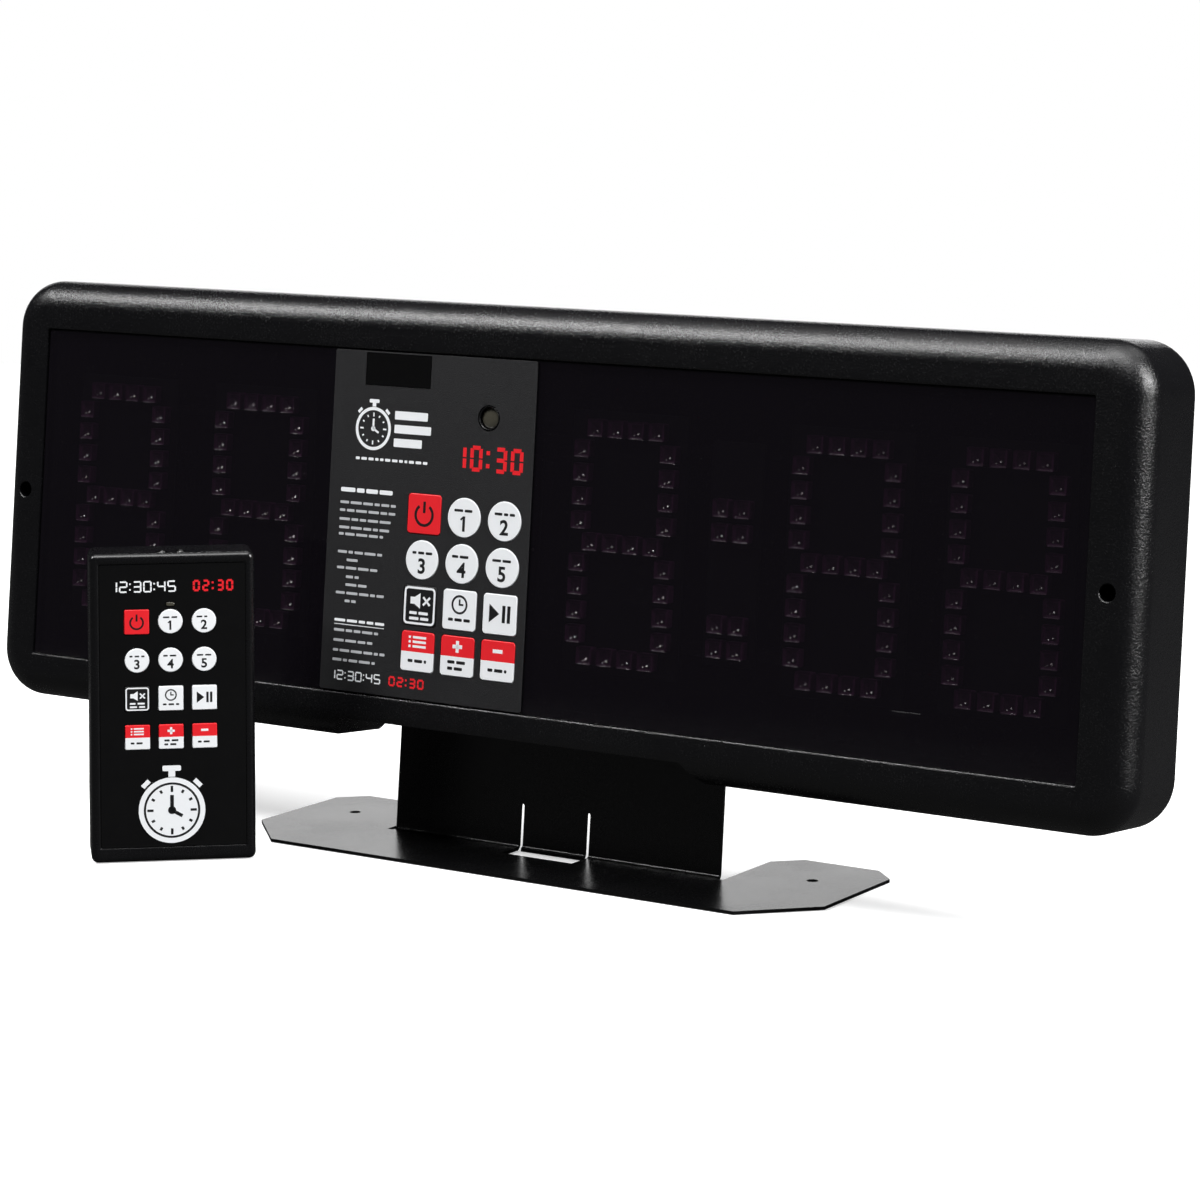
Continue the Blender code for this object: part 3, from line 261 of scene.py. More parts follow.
# ---------------------------------------------------------------- shader nodes


class Wire:
    """An output socket whose arithmetic adds Math nodes."""

    def __init__(self, finish, socket):
        self.finish = finish
        self.socket = socket

    def maths(self, operation, *values):
        return self.finish.node("ShaderNodeMath", {"operation": operation}, dict(enumerate(values)))

    def __add__(self, other):
        return self.maths("ADD", self, other)

    def __sub__(self, other):
        return self.maths("SUBTRACT", self, other)

    def __mul__(self, other):
        return self.maths("MULTIPLY", self, other)

    def __gt__(self, other):
        return self.maths("GREATER_THAN", self, other)


class Finish:
    """A material while its nodes are being made."""

    def __init__(self, name, tree_owner=None):
        self.material = tree_owner or bpy.data.materials.new(name)
        self.material.use_nodes = True
        self.tree = self.material.node_tree

    def node(self, kind, settings=None, inputs=None, output=0):
        """Adds a node: its settings first, then the values or links of its sockets."""
        made = self.tree.nodes.new(kind)
        for name, value in (settings or {}).items():
            setattr(made, name, value)
        for name, value in (inputs or {}).items():
            self.feed(made.inputs[name], value)
        return Wire(self, made.outputs[output])

    def feed(self, socket, value):
        if isinstance(value, Wire):
            self.tree.links.new(value.socket, socket)
        else:
            socket.default_value = value

    def surface(self, **values):
        """Sets the Principled shader's sockets, named with underscores."""
        shader = self.tree.nodes["Principled BSDF"]
        for name, value in values.items():
            self.feed(shader.inputs[name.replace("_", " ")], value)
        return self.material

    def position(self):
        return self.node("ShaderNodeTexCoord", output="Object")

    def turned(self, turn, scale):
        """The position turned and stretched."""
        values = {"Vector": self.position(), "Rotation": turn, "Scale": scale}
        return self.node("ShaderNodeMapping", {"vector_type": "TEXTURE"}, values)

    def noise(self, grain, detail=2.0, roughness=0.5, vector=None):
        values = {"Vector": vector or self.position(), "Scale": 1 / grain, "Detail": detail, "Roughness": roughness}
        return self.node("ShaderNodeTexNoise", {"normalize": True}, values)

    def cells(self, grain):
        return self.node("ShaderNodeTexVoronoi", inputs={"Vector": self.position(), "Scale": 1 / grain})

    def spread(self, value, low, high):
        """A value's range from low to high, spread from 0 to 1 and clamped."""
        inputs = {"Value": value, "From Min": low, "From Max": high}
        return self.node("ShaderNodeMapRange", {"clamp": True}, inputs)

    def mix(self, factor, first, second):
        return self.node("ShaderNodeMix", {"data_type": "RGBA"}, {0: factor, 6: first, 7: second}, 2)

    def tones(self, factor, rgb, low, high):
        """One colour, from darker to lighter."""
        return self.mix(factor, shade(rgb, low), shade(rgb, high))

    def bump(self, height, depth):
        return self.node("ShaderNodeBump", inputs={"Height": height, "Distance": depth, "Strength": 1.0})


def shade(rgb, factor=1.0):
    """A colour made lighter or darker, with full alpha."""
    return (*(min(1.0, channel * factor) for channel in rgb), 1.0)


def moulded(name, rgb, grain, depth, roughness):
    """Plastic with the fine spark-eroded grain of its mould, a little uneven and lightly handled."""
    finish = Finish(name)
    spark = finish.noise(grain, 3, 0.6)
    fine = finish.noise(grain / 3, 1, 0.5)
    broad = finish.noise(60 * MM, 3, 0.6)
    wiped = finish.spread(finish.noise(14 * MM, 4, 0.6), 0.45, 0.75)
    return finish.surface(
        Base_Color=finish.tones(spark * 0.6 + broad * 0.4, rgb, 0.55, 1.45),
        Roughness=(spark - 0.5) * 0.22 + (broad - 0.5) * 0.08 - wiped * 0.03 + roughness,
        Normal=finish.bump(spark * 0.75 + fine * 0.25, depth),
        IOR=1.5,
    )


def powder_coat(name, rgb, roughness):
    """Satin powder coat on sheet steel: slight orange peel and a few fine specks."""
    finish = Finish(name)
    peel = finish.noise(1.6 * MM, 2, 0.5)
    fine = finish.noise(0.35 * MM, 2, 0.6)
    broad = finish.noise(45 * MM, 3, 0.55)
    speck = finish.spread(finish.cells(2.2 * MM), 0.1, 0.16)
    tone = finish.tones(broad * 0.7 + fine * 0.3, rgb, 0.7, 1.4)
    tone = finish.mix(speck, shade(rgb, 2.4), tone)
    return finish.surface(
        Base_Color=tone,
        Roughness=(fine - 0.5) * 0.12 + (broad - 0.5) * 0.1 + roughness,
        Normal=finish.bump(peel * 0.6 + fine * 0.4, 0.04 * MM),
        IOR=1.5,
    )


def acrylic(name, rgb, tint):
    """Polished tinted sheet that lets a little light through, with faint wiping marks."""
    finish = Finish(name)
    smear = finish.noise(30 * MM, 4, 0.65, finish.turned((0, 0.5, 0), (1, 1, 5)))
    dust = finish.spread(finish.cells(5 * MM), 0.025, 0.05)
    return finish.surface(
        Base_Color=finish.mix(dust, shade((0.035, 0.034, 0.036)), shade(rgb)),
        Roughness=finish.spread(smear, 0.4, 0.8) * 0.05 + 0.035,
        Alpha=tint,
        IOR=1.49,
    )


def film(name, rgb, roughness):
    """Fine-textured printed film: light and dark grains on dark grey."""
    finish = Finish(name)
    speckle = finish.noise(0.42 * MM, 3, 0.7)
    broad = finish.noise(35 * MM, 2, 0.5)
    return finish.surface(
        Base_Color=finish.tones(finish.spread(speckle, 0.36, 0.66), rgb, 0.35, 2.3),
        Roughness=(speckle - 0.5) * 0.2 + (broad - 0.5) * 0.08 + roughness,
        Normal=finish.bump(speckle, 0.16 * MM),
        IOR=1.48,
    )


def satin(name, rgb, roughness=0.42, wear=0.05):
    """Satin key plastic or ink, hardly uneven."""
    finish = Finish(name)
    fine = finish.noise(0.3 * MM, 2, 0.6)
    broad = finish.noise(9 * MM, 3, 0.6)
    return finish.surface(
        Base_Color=finish.tones(fine * 0.5 + broad * 0.5, rgb, 1 - wear, 1 + wear),
        Roughness=(fine - 0.5) * 0.1 + (broad - 0.5) * 0.1 + roughness,
        Normal=finish.bump(fine, 0.006 * MM),
    )


def resin(name, rgb, roughness):
    """Clear or tinted moulded resin with faint flow marks."""
    finish = Finish(name)
    flow = finish.noise(2.5 * MM, 3, 0.6)
    return finish.surface(
        Base_Color=finish.tones(flow, rgb, 0.75, 1.25),
        Roughness=flow * 0.06 + roughness,
        Coat_Weight=0.6,
        Coat_Roughness=0.04,
    )


def foam(name, rgb):
    """Open-cell foam."""
    finish = Finish(name)
    cells = finish.cells(0.9 * MM)
    return finish.surface(
        Base_Color=finish.tones(finish.spread(cells, 0.1, 0.6), rgb, 0.4, 1.6),
        Roughness=0.95,
        Normal=finish.bump(cells, 0.4 * MM),
        Specular_IOR_Level=0.15,
    )


def metal(name, rgb, roughness):
    """Machined metal with fine lines and a darker film in patches."""
    finish = Finish(name)
    lines = finish.noise(0.25 * MM, 3, 0.6, finish.turned((0, 0, 0), (6, 1, 1)))
    patch = finish.spread(finish.noise(3 * MM, 3, 0.6), 0.4, 0.7)
    return finish.surface(
        Base_Color=finish.tones(patch, rgb, 0.75, 1.3),
        Metallic=1.0,
        Roughness=lines * 0.15 + patch * 0.08 + roughness,
        Normal=finish.bump(lines, 0.008 * MM),
    )


def circuit_board(name, rgb):
    """Solder mask over copper tracks, with pale pads here and there."""
    finish = Finish(name)
    tracks = finish.node(
        "ShaderNodeTexBrick",
        {"offset": 0.35, "squash": 0.7},
        {"Vector": finish.position(), "Scale": 1 / (9 * MM), "Mortar Size": 0.06, "Mortar Smooth": 0.1},
        output="Fac",
    )
    pad = finish.spread(finish.cells(6 * MM), 0.12, 0.14)
    return finish.surface(
        Base_Color=finish.mix(pad, shade((0.32, 0.3, 0.26)), finish.tones(tracks, rgb, 1, 2.6)),
        Roughness=finish.noise(1.5 * MM) * 0.1 + 0.32,
        Normal=finish.bump(tracks, 0.035 * MM),
    )


def jacket(name):
    """Battery jacket: a plain silver foil with a black band near one end."""
    finish = Finish(name)
    height = finish.node("ShaderNodeSeparateXYZ", inputs={"Vector": finish.position()}, output="Z")
    band = height > 52 * MM
    wrinkle = finish.noise(4 * MM, 3, 0.6)
    return finish.surface(
        Base_Color=finish.mix(band, shade((0.02, 0.02, 0.022)), shade((0.55, 0.56, 0.58))),
        Metallic=0.7,
        Roughness=wrinkle * 0.1 + 0.25,
        Normal=finish.bump(wrinkle, 0.03 * MM),
    )


MATERIALS = {}


def make_materials(scene):
    """Makes every material, with the scene's colours and finishes."""
    colours, finish = scene.timer_colours, scene.timer_finish
    grain, depth = finish.grain, finish.grain_depth
    MATERIALS.update(
        abs=moulded("moulded_black", colours.moulding, grain, depth, finish.moulded_roughness),
        smooth=moulded("moulded_black_fine", colours.moulding, grain / 2, depth / 6, 0.26),
        coat=powder_coat("powder_coat_black", colours.sheet, finish.coat_roughness),
        acrylic=acrylic("smoked_acrylic", colours.acrylic, finish.acrylic_tint),
        film=film("printed_film", colours.film, 0.5),
        face=satin("remote_film", shade(colours.black, 0.2)[:3], 0.24, 0.2),
        filter=resin("dark_filter", colours.dark_filter, 0.05),
        white=satin("white_plastic", colours.white),
        red=satin("red_plastic", colours.red, 0.42, 0.08),
        black=satin("black_plastic", colours.black, 0.4, 0.3),
        grey=satin("grey_ink", colours.grey, 0.5),
        led=resin("led_resin", colours.led, 0.3),
        cup=satin("led_cup", shade(colours.led, 0.45)[:3], 0.5, 0.2),
        pad=metal("silver_pad", (0.95, 0.85, 0.9), 0.16),
        lens=resin("sensor_lens", colours.lens, 0.05),
        board=circuit_board("circuit_board", colours.board),
        steel=metal("blackened_steel", colours.steel, 0.3),
        jacket=jacket("battery_foil"),
        foam=foam("foam_black", colours.black),
    )


# ---------------------------------------------------------------- meshes


def plate(width, height, corner=0.0, centre=(0.0, 0.0), segments=12):
    """A flat rectangle with round corners, across and up, facing the front."""
    shape = bmesh.new()
    bmesh.ops.create_grid(shape, x_segments=1, y_segments=1, size=0.5)
    bmesh.ops.scale(shape, verts=shape.verts, vec=(width, height, 1))
    if corner:
        rounded = {"profile": 0.5, "affect": "VERTICES", "material": -1}
        bmesh.ops.bevel(shape, geom=shape.verts, offset=corner, segments=segments, **rounded)
    return stood(shape, centre)


def disc(radius, centre=(0.0, 0.0), segments=64):
    """A flat disc that faces the front."""
    shape = bmesh.new()
    bmesh.ops.create_circle(shape, cap_ends=True, radius=radius, segments=segments)
    return stood(shape, centre)


def moved(shape, x=0.0, y=0.0, z=0.0):
    bmesh.ops.translate(shape, verts=shape.verts, vec=(x, y, z))
    return shape


def turned(shape, degrees, axis="Y"):
    matrix = Matrix.Rotation(math.radians(degrees), 3, axis)
    bmesh.ops.rotate(shape, verts=shape.verts, cent=(0, 0, 0), matrix=matrix)
    return shape


def stood(shape, centre):
    """Stands a shape drawn flat on the floor upright, so that it faces the front, with its middle at centre."""
    return moved(turned(shape, 90, "X"), centre[0], 0, centre[1])


def deep(shape, front, back):
    """Gives a flat upright shape its depth."""
    moved(shape, y=front)
    grown = bmesh.ops.extrude_face_region(shape, geom=shape.faces[:])["geom"]
    far = [item for item in grown if isinstance(item, bmesh.types.BMVert)]
    bmesh.ops.translate(shape, verts=far, vec=(0, back - front, 0))
    bmesh.ops.recalc_face_normals(shape, faces=shape.faces)
    return shape


def block(node, corner=0.0, segments=12, margin=0.0, front=None, back=None):
    """A block in a CAD node's outline, grown by a margin, as deep as the node unless told otherwise."""
    (low, high), centre = BOX_OF[node], middle(node)
    outline = plate(high.x - low.x + 2 * margin, high.z - low.z + 2 * margin, corner, (centre.x, centre.z), segments)
    return deep(outline, low.y if front is None else front, high.y if back is None else back)


def flared(node, corner, segments, margin, depth, grow):
    """A cutter in a CAD node's outline that widens on every side as it comes forward."""
    shape = block(node, corner, segments, margin, -PAST, depth)
    ring = [vertex for vertex in shape.verts if vertex.co.y < 0]
    centre, extents = middle(node), size(node)
    wider = (1 + 2 * grow / (extents.x + 2 * margin), 1, 1 + 2 * grow / (extents.z + 2 * margin))
    moved(shape, -centre.x, 0, -centre.z)
    bmesh.ops.scale(shape, verts=ring, vec=wider)
    return moved(shape, centre.x, 0, centre.z)


def rim_at(shape, depth):
    """The edges of a shape that lie at one depth."""
    return [edge for edge in shape.edges if all(abs(vertex.co.y - depth) < 0.01 * MM for vertex in edge.verts)]


def soften(shape, edges, amount, segments=3):
    """Rounds some of a shape's edges."""
    rounded = {"profile": 0.5, "affect": "EDGES", "clamp_overlap": False, "material": -1}
    bmesh.ops.bevel(shape, geom=edges, offset=amount, segments=segments, **rounded)
    return shape


def sharp_edges(shape):
    least = math.radians(35)
    return [edge for edge in shape.edges if edge.is_manifold and edge.calc_face_angle(0) > least]


def merged(*shapes):
    """One shape from several that don't touch."""
    first, *others = shapes
    for other in others:
        mesh = plain_mesh(other, "part")
        first.from_mesh(mesh)
        bpy.data.meshes.remove(mesh)
    return first


def plain_mesh(shape, name, materials=()):
    """A mesh with a shape's faces and its materials. The shape is used up."""
    mesh = bpy.data.meshes.new(name)
    shape.to_mesh(mesh)
    shape.free()
    for material in materials:
        mesh.materials.append(MATERIALS[material])
    return mesh


def placed(name, data):
    """An object in the scene for a mesh, curve, light or camera."""
    holder = bpy.data.objects.new(name, data)
    bpy.context.scene.collection.objects.link(holder)
    return holder


def loose_object(shape, name="loose", materials=()):
    return placed(name, plain_mesh(shape, name, materials))


def shape_from(mesh):
    """A mesh as an editable shape. The mesh is removed."""
    shape = bmesh.new()
    shape.from_mesh(mesh)
    bpy.data.meshes.remove(mesh)
    return shape


def evaluated(holder):
    """The mesh of an object with its modifiers applied. The object is removed."""
    bpy.context.view_layer.update()
    graph = bpy.context.evaluated_depsgraph_get()
    mesh = bpy.data.meshes.new_from_object(holder.evaluated_get(graph), depsgraph=graph)
    data = holder.data
    bpy.data.objects.remove(holder)
    if isinstance(data, bpy.types.Mesh):
        bpy.data.meshes.remove(data)
    else:
        bpy.data.curves.remove(data)
    return mesh


def combined(shape, tool, operation):
    """Cuts a tool from a shape, or joins it on, exactly."""
    host, helper = loose_object(shape), loose_object(tool)
    modifier = host.modifiers.new("Combine", "BOOLEAN")
    modifier.object = helper
    modifier.operation = operation
    modifier.solver = "EXACT"
    mesh = evaluated(host)
    helper_mesh = helper.data
    bpy.data.objects.remove(helper)
    bpy.data.meshes.remove(helper_mesh)
    return shape_from(mesh)


def cut(shape, *tools):
    for tool in tools:
        shape = combined(shape, tool, "DIFFERENCE")
    return shape


def joined(shape, *tools):
    for tool in tools:
        shape = combined(shape, tool, "UNION")
    return shape


def copied(node):
    """A CAD node's mesh, merged and with its flat faces whole, in its own frame."""
    shape = bmesh.new()
    shape.from_mesh(NODES[node].data)
    bmesh.ops.transform(shape, matrix=PLACE_OF[node].inverted(), verts=shape.verts)
    bmesh.ops.remove_doubles(shape, verts=shape.verts, dist=0.005 * MM)
    flat = math.radians(0.5)
    bmesh.ops.dissolve_limit(shape, angle_limit=flat, verts=shape.verts, edges=shape.edges, delimit={"NORMAL"})
    return shape


def spun(profile, segments=48, centre=(0.0, 0.0)):
    """A solid of revolution about the depth axis, from (radius, depth) pairs that start and end on the axis."""
    shape = bmesh.new()
    ring = [shape.verts.new((radius, depth, 0)) for radius, depth in profile]
    line = [shape.edges.new(pair) for pair in zip(ring, ring[1:])]
    whole = {"angle": 2 * math.pi, "steps": segments, "use_merge": True}
    bmesh.ops.spin(shape, geom=ring + line, cent=(0, 0, 0), axis=(0, 1, 0), **whole)
    bmesh.ops.remove_doubles(shape, verts=shape.verts, dist=0.001 * MM)
    bmesh.ops.recalc_face_normals(shape, faces=shape.faces)
    return moved(shape, centre[0], 0, centre[1])


def dome(radius, height, steps):
    """The profile of a dome, from its tip to its rim."""
    angles = (step * math.pi / 2 / steps for step in range(steps + 1))
    return [(radius * math.sin(angle), height * (1 - math.cos(angle))) for angle in angles]


def settle(name, shape, place, materials, body, stands_for=(), sharp=32, weighted=True):
    """Turns a shape into a finished piece at its place, which rides on its body."""
    bmesh.ops.transform(shape, matrix=place, verts=shape.verts)
    holder = loose_object(shape, name + "_loose", materials)
    holder.data.shade_smooth()
    holder.data.set_sharp_from_angle(angle=math.radians(sharp))
    if weighted:
        modifier = holder.modifiers.new("Even normals", "WEIGHTED_NORMAL")
        modifier.keep_sharp = True
        modifier.weight = 80
    mesh = evaluated(holder)
    mesh.name = name
    piece = placed(name, mesh)
    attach(piece, body)
    if stands_for:
        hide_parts(*stands_for)
    return piece


def stand_in(node, shape, materials, sharp=32):
    """A finished piece that replaces one CAD node, with its body and material slot."""
    name, place = node + "_detailed", PLACE_OF[node]
    return settle(name, shape, place, materials, BODY_OF[node], [node], sharp)


def settle_print(name, layer, node, inks):
    """A finished layer of ink on a CAD node, which stays."""
    settle(name, layer, PLACE_OF[node], inks, BODY_OF[node], weighted=False)


def coat(node, material):
    """Gives a CAD node that keeps its shape its material."""
    data = NODES[node].data
    data.materials.clear()
    data.materials.append(MATERIALS[material])


# ---------------------------------------------------------------- printed shapes


class Print:
    """Flat inked shapes, drawn across and up in millimetres, each in one of the piece's inks."""

    def __init__(self):
        self.shape = bmesh.new()
        self.lift = 0.0

    def take(self, other, x, z, ink, turn=0.0):
        """Adds a flat shape in one ink, turned clockwise in degrees and then moved."""
        for face in other.faces:
            face.material_index = ink
        moved(turned(other, turn), x * MM, -self.lift * MM, z * MM)
        self.shape = merged(self.shape, other)

    def bar(self, x, z, width, height, ink=0, turn=0.0, corner=0.0):
        self.take(plate(width * MM, height * MM, corner * MM, segments=4), x, z, ink, turn)

    def dot(self, x, z, radius, ink=0, segments=32):
        self.take(disc(radius * MM, segments=segments), x, z, ink)

    def ring(self, x, z, radius, width, ink=0, start=0.0, sweep=360.0):
        """A ring or an arc, from start degrees clockwise of straight up."""
        arc = bmesh.new()
        ends = [arc.verts.new((0, 0, reach * MM)) for reach in (radius - width / 2, radius + width / 2)]
        line = arc.edges.new(ends)
        steps = max(6, round(abs(sweep) / 7.5))
        sweeping = {"angle": math.radians(sweep), "steps": steps, "use_merge": sweep == 360}
        bmesh.ops.spin(arc, geom=[*ends, line], cent=(0, 0, 0), axis=(0, 1, 0), **sweeping)
        self.take(arc, x, z, ink, start)

    def outline(self, x, z, width, height, corner, line, ink=0):
        """A rectangle's outline."""
        shape = plate(width * MM, height * MM, corner * MM, segments=5)
        even = {"use_boundary": True, "use_even_offset": True}
        bmesh.ops.inset_region(shape, faces=shape.faces[:], thickness=line * MM, **even)
        inner = [face for face in shape.faces if all(edge.is_manifold for edge in face.edges)]
        bmesh.ops.delete(shape, geom=inner, context="FACES")
        self.take(shape, x, z, ink)

    def polygon(self, points, ink=0):
        shape = bmesh.new()
        shape.faces.new([shape.verts.new((x * MM, 0, z * MM)) for x, z in points])
        self.take(shape, 0, 0, ink)

    def number(self, text, x, z, height, ink=0):
        """A figure in Blender's own font."""
        curve = bpy.data.curves.new("number", "FONT")
        curve.body = text
        curve.size = height * MM / 0.7
        curve.align_x = "CENTER"
        curve.offset = 0.035 * height * MM
        shape = shape_from(evaluated(placed("number", curve)))
        bmesh.ops.remove_doubles(shape, verts=shape.verts, dist=0.0001 * MM)
        self.take(stood(shape, (0, 0)), x, z - height / 2, ink)

    def words(self, left, z, total, height, ink=0, seed=0, longest=6.0):
        """A line of made-up words: short bars of uneven length."""
        x, step = left, seed
        while x < left + total - 1.2:
            step += 1
            word = min(longest * (0.35 + 0.65 * abs(math.sin(2.4 * step))), left + total - x)
            self.bar(x + word / 2, z, word, height, ink, corner=height * 0.3)
            x += word + 0.9

    def digits(self, text, x, z, width, height, line, ink=0):
        """Seven-bar figures, as on a dial, with a colon as two dots."""
        lit = {"0": "abcdef", "1": "bc", "2": "abged", "3": "abgcd", "4": "fgbc", "5": "afgcd"}
        for figure in text:
            if figure == ":":
                for side in (-1, 1):
                    self.bar(x + line / 2, z + side * height / 4, line, line, ink)
                x += 2.4 * line
                continue
            across, up = (width - line) / 2, (height - line) / 4
            cx = x + width / 2
            level = {"a": 2 * up, "g": 0, "d": -2 * up}
            upright = {"b": (across, up), "c": (across, -up), "e": (-across, -up), "f": (-across, up)}
            for part in lit[figure]:
                if part in level:
                    self.bar(cx, z + level[part], 2 * across - line * 0.35, line, ink)
                else:
                    dx, dz = upright[part]
                    self.bar(cx + dx, z + dz, line, 2 * up - line * 0.35, ink)
            x += width + 1.1 * line

    def layer(self, front, ink):
        """The printed shapes as a thin layer that ends just behind the printed surface."""
        return deep(self.shape, front - ink, front + ink)


def stopwatch(ink, x, z, radius, tone=0, face=None):
    """A plain stopwatch: rim, crown, buttons and hands. With a face, its hands and marks are in the other ink."""
    if face is None:
        ink.ring(x, z, radius, 0.16 * radius, tone)
    else:
        ink.dot(x, z, 1.08 * radius, tone, 64)
    ink.bar(x, z + 1.2 * radius, 0.22 * radius, 0.2 * radius, tone)
    ink.bar(x, z + 1.38 * radius, 0.6 * radius, 0.18 * radius, tone, corner=0.05 * radius)
    for side in (-1, 1):
        ink.bar(x + side * 0.84 * radius, z + 0.88 * radius, 0.3 * radius, 0.15 * radius, tone, turn=side * 45)
    if face is not None:
        tone = face
        ink.lift = 0.03
        ink.ring(x, z, 0.88 * radius, 0.07 * radius, tone)
    marks = [(30 * hour, 0.7, 0.08, 0.11 if hour % 3 else 0.2) for hour in range(12)]
    for turn, reach, width, tall in [*marks, (0, 0.24, 0.12, 0.52), (120, 0.19, 0.11, 0.4)]:
        across, up = math.sin(math.radians(turn)) * reach, math.cos(math.radians(turn)) * reach
        ink.bar(x + across * radius, z + up * radius, width * radius, tall * radius, tone, turn)
    ink.dot(x, z, 0.13 * radius, tone)
    ink.lift = 0.0


def key_icon(ink, name, half):
    """A key's print. Ink 0 is black and ink 1 white. half is half of the key's width, in millimetres."""
    u = half / 8.7

    def bars(*rows, tone=0):
        for x, z, width, height, *turn in rows:
            ink.bar(x * u, z * u, width * u, height * u, tone, *turn)

    def words(left, z, total, height, longest, seed=0, tone=0):
        ink.words(left * u, z * u, total * u, height * u, tone, seed, longest * u)

    if name == "power":
        ink.ring(0, -0.4 * u, 4.5 * u, 1.25 * u, 0, 35, 290)
        bars((0, 3.0, 1.3, 5.0))
    elif name.startswith("preset"):
        words(-5.2, 3.1, 10.6, 1.15, 4.6, int(name[-1]))
        ink.number(name[-1], 0, -2.6 * u, 6.4 * u)
        if name[-1] == "1":
            bars((-0.95, -0.3, 0.8, 2.0, 50))
    elif name == "silent":
        ink.outline(0, 0, 16.4 * u, 16.4 * u, 2 * u, 0.95 * u, 1)
        ink.polygon([(x * u, z * u) for x, z in ((-2.7, 3.7), (-2.7, 0.7), (0.3, -1.2), (0.3, 5.6))], 1)
        bars((-3.8, 2.2, 2.2, 3), (3.6, 2.2, 1.0, 5, 45), (3.6, 2.2, 1.0, 5, -45), tone=1)
        for row in range(2):
            words(-5.2, -3.2 - 2.4 * row, 10.6, 1.25, 5, row, 1)
    elif name == "clock":
        ink.ring(0, 2.4 * u, 3.7 * u, 0.95 * u)
        bars((0, 3.4, 0.85, 2.6), (0.9, 2.4, 2.2, 0.85))
        words(-5.6, -4.2, 11.4, 1.3, 5.4, 3)
    elif name == "start_stop":
        ink.polygon([(-5.4 * u, 4.3 * u), (-0.2 * u, 0.3 * u), (-5.4 * u, -3.7 * u)])
        bars((2.1, 0.3, 1.6, 7.4), (4.7, 0.3, 1.6, 7.4))
    else:
        if name == "program":
            for z in (2.2, 4.2, 6.2):
                bars((-4.2, z, 1.1, 1.05), (0.9, z, 7.0, 1.05), tone=1)
        else:
            bars((0, 4.2, 5.0, 1.6), tone=1)
        if name == "plus":
            bars((0, 4.2, 1.6, 5.0), tone=1)
        for z in (-2.6, -5.4) if name == "plus" else (-4.1,):
            words(-4.8, z, 9.8, 1.35, 4.6, -z)


TWO_TONE = ("program", "plus", "minus")
KEY_COLOUR = {"power": "red", "silent": "black"}


# ---------------------------------------------------------------- operators


class TimerOperator:
    """What the timer's operators share."""

    bl_options = {"REGISTER", "UNDO"}

    def execute(self, context):
        self.make(context.scene)
        return {"FINISHED"}


def notch_shape(case, margin, front, back):
    """The cut over the stand, grown by a margin, with ends that slope at 45 degrees."""
    ceiling = CASE_LOW.z + case.notch_rise + margin
    low = CASE_LOW.z - 3 * PAST
    half = FLANGE_HALF + case.notch_room + margin * math.tan(math.pi / 8)
    spread = half + ceiling - low
    shape = bmesh.new()
    corners = [(half, ceiling), (-half, ceiling), (-spread, low), (spread, low)]
    shape.faces.new([shape.verts.new((x, 0, z)) for x, z in corners])
    return deep(shape, front, back)


def case_block(case, inset, rounding, front, back):
    """A block in the case's outline, smaller by an inset, with its front edge rounded."""
    shape = block("front_case", case.corner - inset, 12, -inset, front, back)
    if rounding:
        soften(shape, rim_at(shape, front), rounding, 14)
    return shape


class TIMER_OT_front_case(TimerOperator, bpy.types.Operator):
    """Moulded front case with its large round edge, window pocket and screw wells"""

    bl_idname = "timer.front_case"
    bl_label = "Front Case"

    def make(self, scene):
        case = scene.timer_case
        back = CASE_HIGH.y
        far = back + 2 * PAST
        shell = case_block(case, 0, case.rounding, 0, back)
        soften(shell, rim_at(shell, back), case.back_edge)
        shell = cut(shell, notch_shape(case, 0, -2 * PAST, far))
        cavity = case_block(case, case.wall, case.inner_rounding, case.bezel, far)
        shell = cut(shell, cut(cavity, notch_shape(case, case.wall, 0, far + 2 * PAST)))

        screw = middle("case_screw_right").x
        boss_front = case.bezel - 0.5 * MM
        bosses = [deep(disc(case.boss, (side * screw, 0)), boss_front, BOSS_END) for side in (-1, 1)]
        shell = joined(shell, merged(*bosses))
        seat = case_block(case, case.seat, 0, COVER_FRONT - case.fit, far)
        shell = cut(shell, cut(seat, notch_shape(case, case.seat, 0, far + 2 * PAST)))

        window_back = WINDOW_HIGH.y + case.fit
        pocket = block("display_window", MM, 6, case.fit, 0, window_back)
        grow = case.window_edge * (1 + PAST / case.edge_depth)
        slope = flared("display_window", MM, 6, case.fit, case.edge_depth, grow)
        hole = block("display_window", MM, 4, case.fit - case.ledge, window_back - PAST, case.bezel + 2 * PAST)
        floor = BOX_OF["case_screw_right"][0].y + 2.5 * MM
        profile = [
            (0, -2 * PAST),
            (case.well + case.well_flare, -2 * PAST),
            (case.well, 0.4 * MM),
            (case.well, floor),
            (case.bore, floor),
            (case.bore, BOSS_END + PAST),
            (0, BOSS_END + PAST),
        ]
        wells = [spun(profile, centre=(side * screw, 0)) for side in (-1, 1)]
        stand_in("front_case", cut(shell, pocket, slope, hole, merged(*wells)), ["abs"])


class TIMER_OT_rear_cover(TimerOperator, bpy.types.Operator):
    """Moulded rear cover with vents, sound holes, ribs and screw posts"""

    bl_idname = "timer.rear_cover"
    bl_label = "Rear Cover"

    def make(self, scene):
        cover = copied("rear_cover")
        soften(cover, rim_at(cover, BOX_OF["rear_cover"][1].y), scene.timer_case.cover_edge, 2)
        stand_in("rear_cover", cover, ["abs"])


def window_opening():
    """Left, right, bottom and top of the CAD window's opening behind the keypad strip."""
    inner = [point for point in points_of("display_window", HEAD) if STRIP_LOW.x < point.x < STRIP_HIGH.x]
    across, up = [point.x for point in inner], [point.z for point in inner]
    return min(across), max(across), min(up), max(up)


